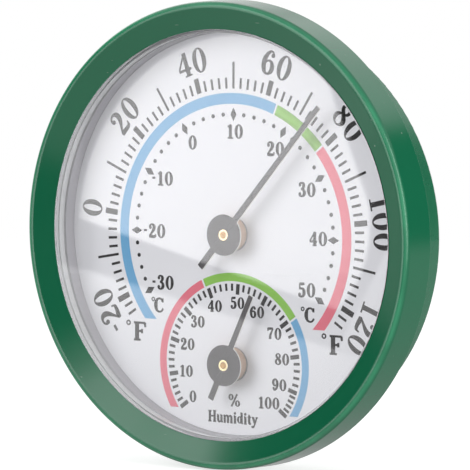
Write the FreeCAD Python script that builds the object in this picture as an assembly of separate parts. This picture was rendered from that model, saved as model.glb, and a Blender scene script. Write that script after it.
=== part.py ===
"""Round dial thermo-hygrometer for a wall or a desk, in millimetres.

Frame: +X to the right as seen from the front, +Z up, the dial faces -Y. The origin is on the axis of
the case, in the plane of its flat back. A depth is measured from the crest of the front ring towards
the back, so depth 0 is the foremost point and case_depth is the back face.
"""
import FreeCAD
import Part
import math
import os

# Case
case_d = 132.0              # across the front ring
case_depth = 27.0           # crest of the ring to the flat back
ring_depth = 11.0           # front ring, along the axis
ring_draft = 0.35           # the ring's side widens by this much towards the back
ring_wall = 2.0
ring_lip_r = 1.6            # rounding of the crest
ring_dish = 2.8             # the window's edge lies this far behind the crest
ring_nose_t = 1.2           # thickness of the ring at the window's edge
flange_t = 2.0              # the housing's flange inside the ring
flange_gap = 0.25
housing_draft = 1.3         # the housing narrows by this much towards the back
housing_wall = 2.0
housing_rim_t = 1.65        # wall round the tray's seat
housing_back_t = 2.2
housing_edge_r = 1.2

# Screws that join the housing to the ring
screw_count = 4
screw_first_angle = 45.0
screw_r = 1.0
screw_hole_gap = 0.15
screw_bite = 4.0            # thread engaged in the ring's bosses
screw_head_r = 1.6
screw_head_t = 1.3
screw_head_gap = 0.3
screw_drive_w = 0.5
screw_drive_t = 0.6
screw_pilot_extra = 0.5
boss_r = 2.0
boss_overlap = 0.1          # how far a boss runs into the ring's side wall
boss_root = 0.25            # and into its face, past the face's front at the boss's inner side

# Lens
lens_gap = 0.2
lens_proud = 0.2            # the lens stands this far in front of the window's edge
lens_t = 1.6
lens_edge = 0.3
lens_flange_w = 2.1
lens_flange_t = 1.5
lens_height = 5.2           # front face to the end of the skirt
skirt_wall = 1.3

# Tray and dial
carrier_gap = 0.15
carrier_wall = 1.4
floor_t = 1.6
sheet_t = 0.5
sheet_gap = 0.1
movement_boss_r = 6.4
movement_boss_t = 1.4
breather_count = 6
breather_r = 0.45
breather_gap = 0.1          # from the air holes to the nut, and from the sheet to the air holes

# Movements, one for temperature and one for humidity
strip_w = 3.7               # width of the coil's strip, along the axis
strip_t = 0.2
coil_turns = 4.75
coil_r = 5.0                # outside of the coil
coil_dial_gap = 0.28
post_fit = 0.05             # radial running clearance of turning fits
pin_r = 0.9
pin_proud = 0.15
pin_dimple_r = 0.35
pin_dimple_t = 0.2
collar_r = 1.4
coil_collar_gap = 0.05
stem_r = 1.0                # the post where it passes through the bush
eyelet_wall = 0.3
eyelet_rim_w = 0.35
eyelet_head_t = 0.3
eyelet_foot_t = 0.2
eyelet_gap = 0.2
pointer_room = 2.1          # between the post's tip and the lens
pointer_t = 0.4
hub_overhang = 0.41         # of the hub disc past the coil's tab
hub_tab_t = 0.35
hub_tab_w = 1.5
hub_tab_len = 2.6
hub_tab_angle = 230.0
hub_tab_gap = 0.1
bush_r = 2.0
bush_flange_r = 2.9
bush_end_len = 0.6
washer_r = 3.7
washer_t = 0.6
washer_gap = 0.1
nut_flats = 6.6
nut_t = 2.2
friction_washer_r = 2.0
friction_washer_t = 0.3
adjuster_r = 2.2
adjuster_t = 2.2
adjuster_slot_w = 0.6
adjuster_slot_t = 0.8
adjuster_socket_t = 1.2

# Pointers
temperature_tip_gap = 8.2   # tip to the wall of the well
temperature_tail = 12.56
temperature_root_w = 1.95
temperature_tip_w = 1.55
temperature_tail_w = 2.1
temperature_angle = 41.2    # at rest, clockwise from the top
humidity_tip_gap = 2.04     # tip to the circle swept by the temperature pointer's tail
humidity_wall_gap = 3.756   # tip at the end of the scale to the wall of the well
humidity_end_angle = 127.2  # end of the humidity scale, from the top
humidity_tail = 10.9
humidity_root_w = 1.9
humidity_tip_w = 1.6
humidity_tail_w = 2.0
humidity_angle = 25.06
pointer_corner_r = 0.2

# Back of the housing
adjuster_hole_r = 2.6
guide_wall = 1.4
guide_gap = 0.7             # from the guide tube to the adjuster
keyhole_inset = 14.9        # entry hole's centre to the housing's edge
keyhole_r = 4.2
keyhole_slot_w = 4.3
keyhole_slot_rise = 7.0
vent_leg_gap = 8.0          # the leg's side to the middle of the nearest slot
vent_rim_gap = 15.0         # the housing's edge to the middle of a slot, at least
vent_pitch = 4.4
vent_w = 1.8
vent_share = 0.55           # of the height of the back at the slot's place
vent_edge_inset = 6.0

# Folding leg
leg_pivot_z = 24.0
leg_foot_inset = 3.9        # foot to the housing's edge
leg_t = 3.0
leg_sink = 0.3              # folded, the leg lies this far inside the back face
leg_gap = 0.5
leg_top_half_w = 22.0
leg_shoulder = 6.0          # straight stretch below the pivot
leg_foot_half_w = 9.0
leg_arm_w = 5.0
leg_foot_h = 7.0
leg_heel = 3.0
leg_corner_r = 3.0
leg_inner_corner_r = 1.5
leg_open_angle = 31.0
leg_stop_gap = 0.1
leg_pin_r = 0.8
leg_pin_bite = 2.4          # of each pin end in the housing
pocket_wall = 1.6
scoop_h = 5.5
scoop_inset = 0.6
scoop_t = 4.6
hinge_block_half_h = 4.6

# One overrun serves every cut that runs through a wall
overrun = 1.0

# Radii, from the ring inwards
case_r = case_d / 2
ring_bore_r = case_r - ring_wall
screw_circle_r = ring_bore_r - boss_r + boss_overlap
lens_flange_r = screw_circle_r - boss_r - lens_gap
window_r = lens_flange_r - lens_flange_w
lens_r = window_r - lens_gap
housing_r = screw_circle_r - screw_head_r - screw_head_gap
housing_back_r = housing_r - housing_draft
housing_cavity_r = housing_back_r - housing_wall
carrier_seat_r = housing_r - housing_rim_t
carrier_r = carrier_seat_r - carrier_gap
well_r = carrier_r - carrier_wall
sheet_r = well_r - sheet_gap
flange_r = ring_bore_r - flange_gap

# Depths behind the crest, from the front backwards
lens_front = ring_dish - lens_proud
lens_flange_front = ring_dish + ring_nose_t
lens_back = lens_front + lens_t
skirt_end = lens_front + lens_height
pin_tip = lens_back + pointer_room
eyelet_front = pin_tip + pin_proud
pointer_front = eyelet_front + eyelet_head_t
pointer_back = pointer_front + pointer_t
eyelet_back = pointer_back + eyelet_foot_t
collar_front = eyelet_back + eyelet_gap
coil_back = collar_front + strip_w
dial_front = coil_back + coil_dial_gap
floor_front = dial_front + sheet_t
floor_back = floor_front + floor_t
movement_boss_back = floor_back + movement_boss_t
washer_back = movement_boss_back + washer_t
nut_back = washer_back + nut_t
bush_back = nut_back + bush_end_len
adjuster_front = bush_back + friction_washer_t
adjuster_back = adjuster_front + adjuster_t
flange_front = ring_depth - flange_t
back_wall_front = case_depth - housing_back_t
guide_front = adjuster_back + guide_gap

# Places on the dial and on the back. The humidity centre lies as low as its pointer's gaps allow: with
# the tail's swept circle of radius s above it and the drop d, the pointer reaches d - s, and its tip at
# the end of the scale lies r from the case's axis, where r r = d d + (d - s)(d - s) - 2 d (d - s) cos(end).
tail_swept_r = temperature_tail + humidity_tip_gap
humidity_limit_r = well_r - humidity_wall_gap
end_turn = 2 - 2 * math.cos(math.radians(humidity_end_angle))
humidity_drop = tail_swept_r / 2 + math.sqrt(
    tail_swept_r ** 2 / 4 + (humidity_limit_r ** 2 - tail_swept_r ** 2) / end_turn)
humidity_z = -humidity_drop
temperature_reach = well_r - temperature_tip_gap
humidity_reach = humidity_drop - tail_swept_r
hub_r = coil_r + hub_tab_gap + hub_tab_t + hub_overhang
nut_corner_r = nut_flats / 2 / math.cos(math.radians(30))
breather_ring_r = nut_corner_r + breather_gap + breather_r
keyhole_z = housing_back_r - keyhole_inset
leg_foot_z = leg_foot_inset - housing_back_r
leg_shoulder_z = leg_pivot_z - leg_shoulder
leg_window_z = leg_foot_z + leg_foot_h
leg_pivot_inset = leg_sink + leg_t / 2
leg_top_z = leg_pivot_z + leg_heel
pocket_t = leg_sink + leg_t + leg_gap
heel_reach = leg_t / 2 + (leg_heel - leg_t / 2) * math.sin(math.radians(leg_open_angle))
heel_pocket_t = leg_pivot_inset + heel_reach + leg_stop_gap


def across(depth):
    """The Y of a place that lies this depth behind the crest."""
    return depth - case_depth


def section_point(corner):
    """A point of a turned section, given as radius and depth."""
    return FreeCAD.Vector(corner[0], across(corner[1]), 0)


def flat_point(corner):
    """A point of a plate's outline, given as X and Z, in the plane Y = 0."""
    return FreeCAD.Vector(corner[0], 0, corner[1])


def rounded_wire(corners, place):
    """A closed wire through the corners (u, v, rounding), each rounded by an arc that its sides touch."""
    edges = []
    ends = []
    for i, corner in enumerate(corners):
        here = place(corner)
        radius = corner[2] if len(corner) > 2 else 0
        if not radius:
            ends.append((here, here, None))
            continue
        before = place(corners[i - 1]) - here
        after = place(corners[(i + 1) % len(corners)]) - here
        half = before.getAngle(after) / 2
        run = min(radius / math.tan(half), before.Length / 2, after.Length / 2)
        radius = run * math.tan(half)
        before.normalize()
        after.normalize()
        bisector = (before + after).normalize()
        middle = here + bisector * (radius / math.sin(half) - radius)
        ends.append((here + before * run, here + after * run, middle))
    for i, (start, end, middle) in enumerate(ends):
        if middle is not None:
            edges.append(Part.Arc(start, middle, end).toShape())
        following = ends[(i + 1) % len(ends)][0]
        if (following - end).Length > Part.Precision.confusion():
            edges.append(Part.LineSegment(end, following).toShape())
    return Part.Wire(edges)


def turned(corners):
    """A solid turned about the case's axis from a section of (radius, depth, rounding) corners."""
    face = Part.Face(rounded_wire(corners, section_point))
    return face.revolve(FreeCAD.Vector(0, 0, 0), FreeCAD.Vector(0, 1, 0), 360)


def plate(corners, front, back):
    """A plate with an outline of (X, Z, rounding) corners between two depths."""
    face = Part.Face(rounded_wire(corners, flat_point))
    face.translate(FreeCAD.Vector(0, across(front), 0))
    return face.extrude(FreeCAD.Vector(0, back - front, 0))


def drum(radius, front, back, x=0, z=0):
    """A cylinder along the case's axis direction between two depths."""
    foot = FreeCAD.Vector(x, across(front), z)
    return Part.makeCylinder(radius, back - front, foot, FreeCAD.Vector(0, 1, 0))


def cross_rod(radius, x_from, x_to, depth, z):
    """A cylinder along X."""
    foot = FreeCAD.Vector(x_from, across(depth), z)
    return Part.makeCylinder(radius, x_to - x_from, foot, FreeCAD.Vector(1, 0, 0))


def block(x_from, x_to, z_from, z_to, front, back):
    """A box between two places along each axis."""
    corner = FreeCAD.Vector(x_from, across(front), z_from)
    return Part.makeBox(x_to - x_from, back - front, z_to - z_from, corner)


def upright_slot(width, z_from, z_to, front, back, x):
    """A slot along Z with round ends."""
    half = width / 2
    middle = block(x - half, x + half, z_from + half, z_to - half, front, back)
    return middle.fuse([drum(half, front, back, x, z_from + half), drum(half, front, back, x, z_to - half)])


def clockwise(shape, angle):
    """The shape turned clockwise, as seen from the front, about the case's axis."""
    turned_shape = shape.copy()
    turned_shape.rotate(FreeCAD.Vector(0, 0, 0), FreeCAD.Vector(0, 1, 0), angle)
    return turned_shape


def at_height(shape, z):
    """The shape moved up from the case's axis."""
    moved = shape.copy()
    moved.translate(FreeCAD.Vector(0, 0, z))
    return moved


def merged(shape):
    """One solid without the seams that joining left."""
    return shape.removeSplitter()


def tangent_point(outside, centre, radius, side):
    """Where a line from a point touches a circle, both as (radius, depth)."""
    along = centre[0] - outside[0]
    down = centre[1] - outside[1]
    distance = math.hypot(along, down)
    angle = math.atan2(down, along) + side * math.asin(radius / distance)
    run = math.sqrt(distance ** 2 - radius ** 2)
    return (outside[0] + run * math.cos(angle), outside[1] + run * math.sin(angle))


def screw_places():
    """X and Z of each case screw."""
    step = 360.0 / screw_count
    angles = [math.radians(screw_first_angle + i * step) for i in range(screw_count)]
    return [(screw_circle_r * math.cos(a), screw_circle_r * math.sin(a)) for a in angles]


def lip_centre():
    """The centre of the crest's rounding, as (radius, depth)."""
    return (case_r - ring_draft - ring_lip_r, ring_lip_r)


def ring_face_end():
    """Where the ring's dished face runs into the crest's rounding."""
    return tangent_point((window_r, ring_dish), lip_centre(), ring_lip_r, -1)


def ring_slope():
    """How much the dished face rises towards the front for each millimetre outwards."""
    end = ring_face_end()
    return (ring_dish - end[1]) / (end[0] - window_r)


def ring_section():
    """The front ring's section: dished face, round crest, tapered side and an even wall behind them."""
    window_edge = (window_r, ring_dish)
    back_edge = (case_r, ring_depth)
    face_end = ring_face_end()
    side_start = tangent_point(back_edge, lip_centre(), ring_lip_r, 1)
    turn = math.radians(45)
    crest = (lip_centre()[0] + ring_lip_r * math.cos(turn), lip_centre()[1] - ring_lip_r * math.sin(turn))
    inner_corner_r = case_r - ring_draft - ring_wall
    seat_r = lens_flange_r + lens_gap
    inner_corner_depth = lens_flange_front - ring_slope() * (inner_corner_r - seat_r)
    points = [window_edge, face_end, side_start, back_edge, (ring_bore_r, ring_depth),
              (inner_corner_r, inner_corner_depth), (seat_r, lens_flange_front),
              (window_r, lens_flange_front)]
    places = [section_point(point) for point in points]
    edges = [Part.LineSegment(places[0], places[1]).toShape(),
             Part.Arc(places[1], section_point(crest), places[2]).toShape()]
    for start, end in zip(places[2:], places[3:] + places[:1]):
        edges.append(Part.LineSegment(start, end).toShape())
    return Part.Wire(edges)


def make_front_bezel():
    """Green ring with a boss behind its face for each screw."""
    ring = Part.Face(ring_section()).revolve(FreeCAD.Vector(0, 0, 0), FreeCAD.Vector(0, 1, 0), 360)
    boss_front = ring_dish - ring_slope() * (screw_circle_r - boss_r - window_r) + boss_root
    bosses = [drum(boss_r, boss_front, flange_front, x, z) for x, z in screw_places()]
    bore_end = flange_front - screw_bite - screw_pilot_extra
    bores = [drum(screw_r, bore_end, flange_front + overrun, x, z) for x, z in screw_places()]
    return merged(ring.fuse(bosses)).cut(bores)


def make_lens():
    """Clear cover: flat face, a flange behind the window's edge and a skirt down to the tray."""
    skirt_r = carrier_r - skirt_wall
    return turned([
        (0, lens_front), (lens_r, lens_front, lens_edge), (lens_r, lens_flange_front),
        (lens_flange_r, lens_flange_front), (lens_flange_r, lens_flange_front + lens_flange_t),
        (carrier_r, lens_flange_front + lens_flange_t), (carrier_r, skirt_end), (skirt_r, skirt_end),
        (skirt_r, lens_back, lens_edge), (0, lens_back)])


def make_dial_carrier():
    """White tray: the wall of the well, the floor under the dial and a boss for each movement."""
    tray = turned([
        (0, floor_front), (well_r, floor_front), (well_r, skirt_end), (carrier_r, skirt_end),
        (carrier_r, floor_back), (0, floor_back)])
    centres = (0, humidity_z)
    tray = tray.fuse([drum(movement_boss_r, floor_back, movement_boss_back, 0, z) for z in centres])
    holes = []
    for z in centres:
        holes.append(drum(bush_r, floor_front - overrun, movement_boss_back + overrun, 0, z))
        for i in range(breather_count):
            a = math.radians(i * 360.0 / breather_count)
            x = breather_ring_r * math.sin(a)
            up = breather_ring_r * math.cos(a)
            holes.append(drum(breather_r, floor_front - overrun, movement_boss_back + overrun, x, z + up))
    return merged(tray).cut(holes)


def make_dial_sheet():
    """White sheet that carries the printed scales, open round both movements for air."""
    hole_r = breather_ring_r + breather_r + breather_gap
    sheet = drum(sheet_r, dial_front, floor_front)
    return sheet.cut([drum(hole_r, dial_front - overrun, floor_front + overrun, 0, z)
                      for z in (0, humidity_z)])


def leg_half_width(z):
    """Half the leg's outer width at a height."""
    fall = max(0, leg_shoulder_z - z) / (leg_shoulder_z - leg_foot_z)
    return leg_top_half_w - fall * (leg_top_half_w - leg_foot_half_w)


def leg_outline(grow):
    """The leg's outer outline, grown on every side, from its top to its foot."""
    low = leg_foot_z - grow
    high = leg_top_z + grow
    right = [(leg_top_half_w + grow, high, 0), (leg_top_half_w + grow, leg_shoulder_z, leg_corner_r),
             (leg_foot_half_w + grow, low, leg_corner_r + grow)]
    left = [(-x, z, r) for x, z, r in reversed(right)]
    return right + left


def leg_window(shrink, high):
    """The open middle between the leg's arms, shrunk on every side."""
    low = leg_window_z + shrink
    inset = leg_arm_w + shrink
    right = [(leg_top_half_w - inset, high, 0), (leg_top_half_w - inset, leg_shoulder_z, leg_corner_r),
             (leg_half_width(leg_window_z) - inset, low, leg_inner_corner_r)]
    left = [(-x, z, r) for x, z, r in reversed(right)]
    return right + left


def leg_arms():
    """The inner and outer X of the right arm at the pivot."""
    return (leg_top_half_w - leg_arm_w, leg_top_half_w)


def leg_space(grow, front, back):
    """The frame-shaped space that the folded leg lies in."""
    high = leg_top_z + grow
    outer = plate(leg_outline(grow), front, back)
    return outer.cut(plate(leg_window(grow, high + overrun), front - overrun, back + overrun))


def hinge_blocks(sides, grow, front, back):
    """Boxes round both hinges."""
    near, far = leg_arms()
    low = leg_pivot_z - hinge_block_half_h
    high = leg_top_z + leg_gap + pocket_wall
    boxes = []
    for side in sides:
        edges = sorted((side * (near - grow), side * (far + grow)))
        boxes.append(block(edges[0], edges[1], low, high, front, back))
    return boxes


def vent_places():
    """X of each air slot on the right, outwards from the leg as far as the rim leaves room."""
    first = leg_top_half_w + vent_leg_gap
    room = housing_back_r - vent_rim_gap - first
    return [first + i * vent_pitch for i in range(math.floor(room / vent_pitch) + 1)]


def make_rear_housing():
    """Green cup with a flange in the ring, the tray's seat, and the fittings of its flat back."""
    past_back = case_depth + overrun
    cup = turned([
        (0, flange_front), (flange_r, flange_front), (flange_r, ring_depth), (housing_r, ring_depth),
        (housing_back_r, case_depth, housing_edge_r), (0, case_depth)])
    seat = drum(carrier_seat_r, flange_front - overrun, floor_back)
    cavity = drum(housing_cavity_r, floor_back - overrun, back_wall_front)
    cup = cup.cut([seat, cavity])

    inner = [leg_space(leg_gap + pocket_wall, case_depth - pocket_t - pocket_wall, case_depth)]
    pin_cover = leg_gap + leg_pin_bite + pocket_wall
    inner += hinge_blocks((-1, 1), pin_cover, case_depth - heel_pocket_t - pocket_wall, case_depth)
    scoop_half_w = leg_half_width(leg_window_z) - leg_arm_w - leg_gap - scoop_inset
    scoop_low = leg_window_z - leg_gap
    scoop_high = leg_window_z + scoop_h
    inner.append(block(-scoop_half_w - pocket_wall, scoop_half_w + pocket_wall, scoop_low,
                       scoop_high + pocket_wall, case_depth - scoop_t - pocket_wall, case_depth))
    inner += [drum(adjuster_hole_r + guide_wall, guide_front, case_depth, 0, z) for z in (0, humidity_z)]
    inner_limit = drum(housing_cavity_r + overrun, floor_back, back_wall_front)
    inner_shape = inner[0].fuse(inner[1:]).common(inner_limit)
    cup = merged(cup.fuse(inner_shape))

    near, far = leg_arms()
    cuts = [leg_space(leg_gap, case_depth - pocket_t, past_back)]
    for side in (-1, 1):
        edges = sorted((side * (near - leg_gap), side * (far + leg_gap)))
        cuts.append(block(edges[0], edges[1], leg_pivot_z - leg_t / 2, leg_top_z + leg_gap,
                          case_depth - heel_pocket_t, past_back))
        ends = sorted((side * (near - leg_gap - leg_pin_bite), side * (far + leg_gap + leg_pin_bite)))
        cuts.append(cross_rod(leg_pin_r, ends[0], ends[1], case_depth - leg_pivot_inset, leg_pivot_z))
    cuts.append(block(-scoop_half_w, scoop_half_w, scoop_low, scoop_high, case_depth - scoop_t, past_back))
    cuts += [drum(adjuster_hole_r, guide_front - overrun, past_back, 0, z) for z in (0, humidity_z)]
    cuts.append(drum(keyhole_r, back_wall_front - overrun, past_back, 0, keyhole_z))
    cuts.append(upright_slot(keyhole_slot_w, keyhole_z, keyhole_z + keyhole_slot_rise + keyhole_slot_w / 2,
                             back_wall_front - overrun, past_back, 0))
    for x in vent_places():
        half_h = vent_share * math.sqrt((housing_back_r - vent_edge_inset) ** 2 - x ** 2)
        for side in (-1, 1):
            cuts.append(upright_slot(vent_w, -half_h, half_h, back_wall_front - overrun, past_back, side * x))
    hole_r = screw_r + screw_hole_gap
    cuts += [drum(hole_r, flange_front - overrun, ring_depth + overrun, x, z) for x, z in screw_places()]
    return cup.cut(cuts)


def make_case_screws():
    """Pan-head screws with a crossed drive, all alike."""
    tip = flange_front - screw_bite
    head_back = ring_depth + screw_head_t
    screws = []
    for x, z in screw_places():
        head = drum(screw_head_r, ring_depth, head_back, x, z)
        back_edge = [edge for edge in head.Edges
                     if abs(edge.CenterOfMass.y - across(head_back)) < screw_drive_w / 2]
        head = head.makeFillet(screw_head_t / 2, [back_edge[0]])
        screw = head.fuse(drum(screw_r, tip, ring_depth, x, z))
        half_w = screw_drive_w / 2
        half_l = screw_head_r / 2
        drive_front = head_back - screw_drive_t
        drive = [block(x - half_w, x + half_w, z - half_l, z + half_l, drive_front, head_back + overrun),
                 block(x - half_l, x + half_l, z - half_w, z + half_w, drive_front, head_back + overrun)]
        screws.append(merged(screw).cut(drive))
    return Part.makeCompound(screws)


def make_bush():
    """Flanged brass bush: the flange lies on the tray, the barrel takes the nut behind it."""
    bore_r = stem_r + post_fit
    return turned([
        (bore_r, dial_front), (bush_flange_r, dial_front), (bush_flange_r, floor_front),
        (bush_r, floor_front), (bush_r, bush_back), (bore_r, bush_back)])


def make_washer():
    """Flat washer under the nut."""
    washer = drum(washer_r, movement_boss_back, washer_back)
    return washer.cut(drum(bush_r + washer_gap, movement_boss_back - overrun, washer_back + overrun))


def make_nut():
    """Hexagon nut with chamfered corners."""
    corners = []
    for i in range(6):
        a = math.radians(60 * i)
        corners.append((nut_corner_r * math.cos(a), nut_corner_r * math.sin(a), 0))
    hexagon = plate(corners, washer_back, nut_back)
    chamfer = nut_corner_r - nut_flats / 2
    turned_blank = turned([(0, washer_back), (nut_corner_r, washer_back), (nut_corner_r, nut_back - chamfer),
                           (nut_flats / 2, nut_back), (0, nut_back)])
    return hexagon.common(turned_blank).cut(drum(bush_r, washer_back - overrun, nut_back + overrun))


def make_friction_washer():
    """Thin washer between the bush and the adjuster."""
    washer = drum(friction_washer_r, bush_back, adjuster_front)
    return washer.cut(drum(stem_r + post_fit, bush_back - overrun, adjuster_front + overrun))


def make_post():
    """Brass post: fine pin for the eyelet, collar for the coil, stem through the bush."""
    stem_back = adjuster_front + adjuster_socket_t
    return turned([
        (0, pin_tip + pin_dimple_t), (pin_dimple_r, pin_tip), (pin_r, pin_tip, pin_dimple_t),
        (pin_r, collar_front), (collar_r, collar_front), (collar_r, dial_front), (stem_r, dial_front),
        (stem_r, stem_back), (0, stem_back)])


def make_adjuster():
    """Slotted head pressed on the post's back end."""
    head = drum(adjuster_r, adjuster_front, adjuster_back)
    socket = drum(stem_r, adjuster_front - overrun, adjuster_front + adjuster_socket_t)
    half_w = adjuster_slot_w / 2
    reach = adjuster_r + overrun
    slot = block(-reach, reach, -half_w, half_w, adjuster_back - adjuster_slot_t, adjuster_back + overrun)
    return head.cut([socket, slot])


def coil_arcs():
    """The coil's middle line as quarter turns: centre X, centre Z, start angle and radius of each.

    Each quarter is smaller than the last by a quarter of the pitch, and its centre lies on the line
    from the last quarter's end to its centre, so the turns join without a kink.
    """
    outer = coil_r - strip_t / 2
    inner = collar_r + coil_collar_gap + strip_t / 2
    step = (outer - inner) / (coil_turns * 4)
    start = math.radians(hub_tab_angle)
    x = -step / 2 * (math.sin(start) - math.cos(start))
    z = -step / 2 * (math.cos(start) + math.sin(start))
    radius = outer
    arcs = []
    for quarter in range(round(coil_turns * 4)):
        angle = start + quarter * math.pi / 2
        arcs.append((x, z, angle, radius))
        end = angle + math.pi / 2
        x += step * math.sin(end)
        z += step * math.cos(end)
        radius -= step
    return arcs


def arc_point(arc, turn, offset):
    """A point of one quarter, a turn past its start, moved outwards by an offset."""
    x, z, start, radius = arc
    angle = start + turn
    return FreeCAD.Vector(x + (radius + offset) * math.sin(angle), 0, z + (radius + offset) * math.cos(angle))


def make_coil():
    """Spiral of thin strip on edge, from the hub's tab to the post's collar."""
    arcs = coil_arcs()
    quarter = math.pi / 2
    sides = {}
    for offset in (strip_t / 2, -strip_t / 2):
        sides[offset] = [Part.Arc(arc_point(arc, 0, offset), arc_point(arc, quarter / 2, offset),
                                  arc_point(arc, quarter, offset)).toShape() for arc in arcs]
    outside = sides[strip_t / 2]
    inside = sides[-strip_t / 2]
    outer_ends = (arc_point(arcs[0], 0, strip_t / 2), arc_point(arcs[0], 0, -strip_t / 2))
    outer_cap = Part.LineSegment(*outer_ends).toShape()
    inner_cap = Part.LineSegment(arc_point(arcs[-1], quarter, strip_t / 2),
                                 arc_point(arcs[-1], quarter, -strip_t / 2)).toShape()
    wire = Part.Wire(Part.__sortEdges__(outside + [inner_cap] + inside + [outer_cap]))
    strip = Part.Face(wire)
    strip.translate(FreeCAD.Vector(0, across(collar_front), 0))
    return strip.extrude(FreeCAD.Vector(0, strip_w, 0))


def coil_least_gap():
    """The least gap between one turn of the coil and the next, measured on points of its middle line."""
    arcs = coil_arcs()
    steps = 12
    points = [arc_point(arc, i * math.pi / 2 / steps, 0) for arc in arcs for i in range(steps)]
    turn = 4 * steps
    nearest = min((points[i] - points[j]).Length for i in range(len(points))
                  for j in range(i + turn // 2, len(points)))
    return nearest - strip_t


def make_eyelet():
    """Brass eyelet that turns on the post's pin, riveted in the hub disc."""
    bore_r = pin_r + post_fit
    barrel_r = bore_r + eyelet_wall
    rim_r = barrel_r + eyelet_rim_w
    return turned([
        (bore_r, eyelet_front, eyelet_head_t / 2), (rim_r, eyelet_front, eyelet_head_t / 2),
        (rim_r, pointer_front), (barrel_r, pointer_front), (barrel_r, pointer_back), (rim_r, pointer_back),
        (rim_r, eyelet_back), (bore_r, eyelet_back)])


def make_pointer(reach, tail, root_w, tip_w, tail_w):
    """Stamped pointer that points up: a hub disc, a tapered blade, a plain tail and the coil's tab."""
    blade = plate([(-root_w / 2, 0), (root_w / 2, 0), (tip_w / 2, reach, pointer_corner_r),
                   (-tip_w / 2, reach, pointer_corner_r)], pointer_front, pointer_back)
    tail_plate = plate([(-tail_w / 2, 0), (tail_w / 2, 0), (tail_w / 2, -tail, pointer_corner_r),
                        (-tail_w / 2, -tail, pointer_corner_r)], pointer_front, pointer_back)
    tab_r = coil_r + hub_tab_gap
    tab_back = pointer_back + hub_tab_len
    tab = block(-hub_tab_w / 2, hub_tab_w / 2, tab_r, tab_r + hub_tab_t, pointer_front, tab_back)
    body = drum(hub_r, pointer_front, pointer_back).fuse([blade, tail_plate, clockwise(tab, hub_tab_angle)])
    hole_r = pin_r + post_fit + eyelet_wall
    return merged(body).cut(drum(hole_r, pointer_front - overrun, pointer_back + overrun))


def make_stand_leg():
    """Flat frame with two arms, round heels at the hinges and a cross bar as its foot."""
    front = case_depth - leg_sink - leg_t
    back = case_depth - leg_sink
    frame = leg_space(0, front, back)
    near, far = leg_arms()
    pivot_depth = case_depth - leg_pivot_inset
    heel_z = leg_top_z - leg_t / 2
    for side in (-1, 1):
        edges = sorted((side * near, side * far))
        x_from = edges[0] - overrun
        x_to = edges[1] + overrun
        top = block(x_from, x_to, heel_z, leg_top_z + overrun, front - overrun, back + overrun)
        heel = cross_rod(leg_t / 2, edges[0], edges[1], pivot_depth, heel_z)
        bore = cross_rod(leg_pin_r + post_fit, x_from, x_to, pivot_depth, leg_pivot_z)
        frame = frame.cut(top).fuse(heel).cut(bore)
    return merged(frame)


def make_stand_pins():
    """Steel hinge pins, one for each arm of the leg."""
    near, far = leg_arms()
    reach = leg_gap + leg_pin_bite
    pins = []
    for side in (-1, 1):
        ends = sorted((side * (near - reach), side * (far + reach)))
        pins.append(cross_rod(leg_pin_r, ends[0], ends[1], case_depth - leg_pivot_inset, leg_pivot_z))
    return Part.makeCompound(pins)


def make_movement(name, z, pointer, angle):
    """All pieces of one movement, with its pointer at the rest reading."""
    return {
        name + "_bush": at_height(make_bush(), z),
        name + "_washer": at_height(make_washer(), z),
        name + "_nut": at_height(make_nut(), z),
        name + "_friction_washer": at_height(make_friction_washer(), z),
        name + "_post": at_height(make_post(), z),
        name + "_adjuster": at_height(make_adjuster(), z),
        name + "_coil": at_height(clockwise(make_coil(), angle), z),
        name + "_eyelet": at_height(make_eyelet(), z),
        name + "_pointer": at_height(clockwise(pointer, angle), z),
    }


def make_part():
    """Every piece of the instrument by its node's name."""
    nodes = {
        "front_bezel": make_front_bezel(),
        "lens": make_lens(),
        "dial_sheet": make_dial_sheet(),
        "dial_carrier": make_dial_carrier(),
        "rear_housing": make_rear_housing(),
        "case_screws": make_case_screws(),
        "stand_leg": make_stand_leg(),
        "stand_pins": make_stand_pins(),
    }
    temperature_pointer = make_pointer(temperature_reach, temperature_tail, temperature_root_w,
                                       temperature_tip_w, temperature_tail_w)
    humidity_pointer = make_pointer(humidity_reach, humidity_tail, humidity_root_w,
                                    humidity_tip_w, humidity_tail_w)
    nodes.update(make_movement("temperature", 0, temperature_pointer, temperature_angle))
    nodes.update(make_movement("humidity", humidity_z, humidity_pointer, humidity_angle))
    return nodes


os.makedirs("parts", exist_ok=True)
for node_name, node_shape in make_part().items():
    state = "valid" if node_shape.isValid() else "NOT VALID"
    print(node_name, len(node_shape.Solids), "solid(s)", round(node_shape.Volume, 2), "mm3", state)
    node_shape.exportStep("parts/" + node_name + ".step")
print("least gap between the coil's turns", round(coil_least_gap(), 3), "mm")
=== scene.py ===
"""Looks of a round dial thermo-hygrometer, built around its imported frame.

Lengths are in metres and angles in radians unless a name says otherwise. +X is to the right as seen from
the front, +Z is up and the dial faces -Y. The case's axis is the line x = 0, z = 0. An angle on the dial
is counted clockwise from the top, as the pointers turn.
"""
import math

import bmesh
import bpy
import numpy as np
from bpy.props import FloatProperty, FloatVectorProperty, PointerProperty
from mathutils import Matrix, Vector


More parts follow.
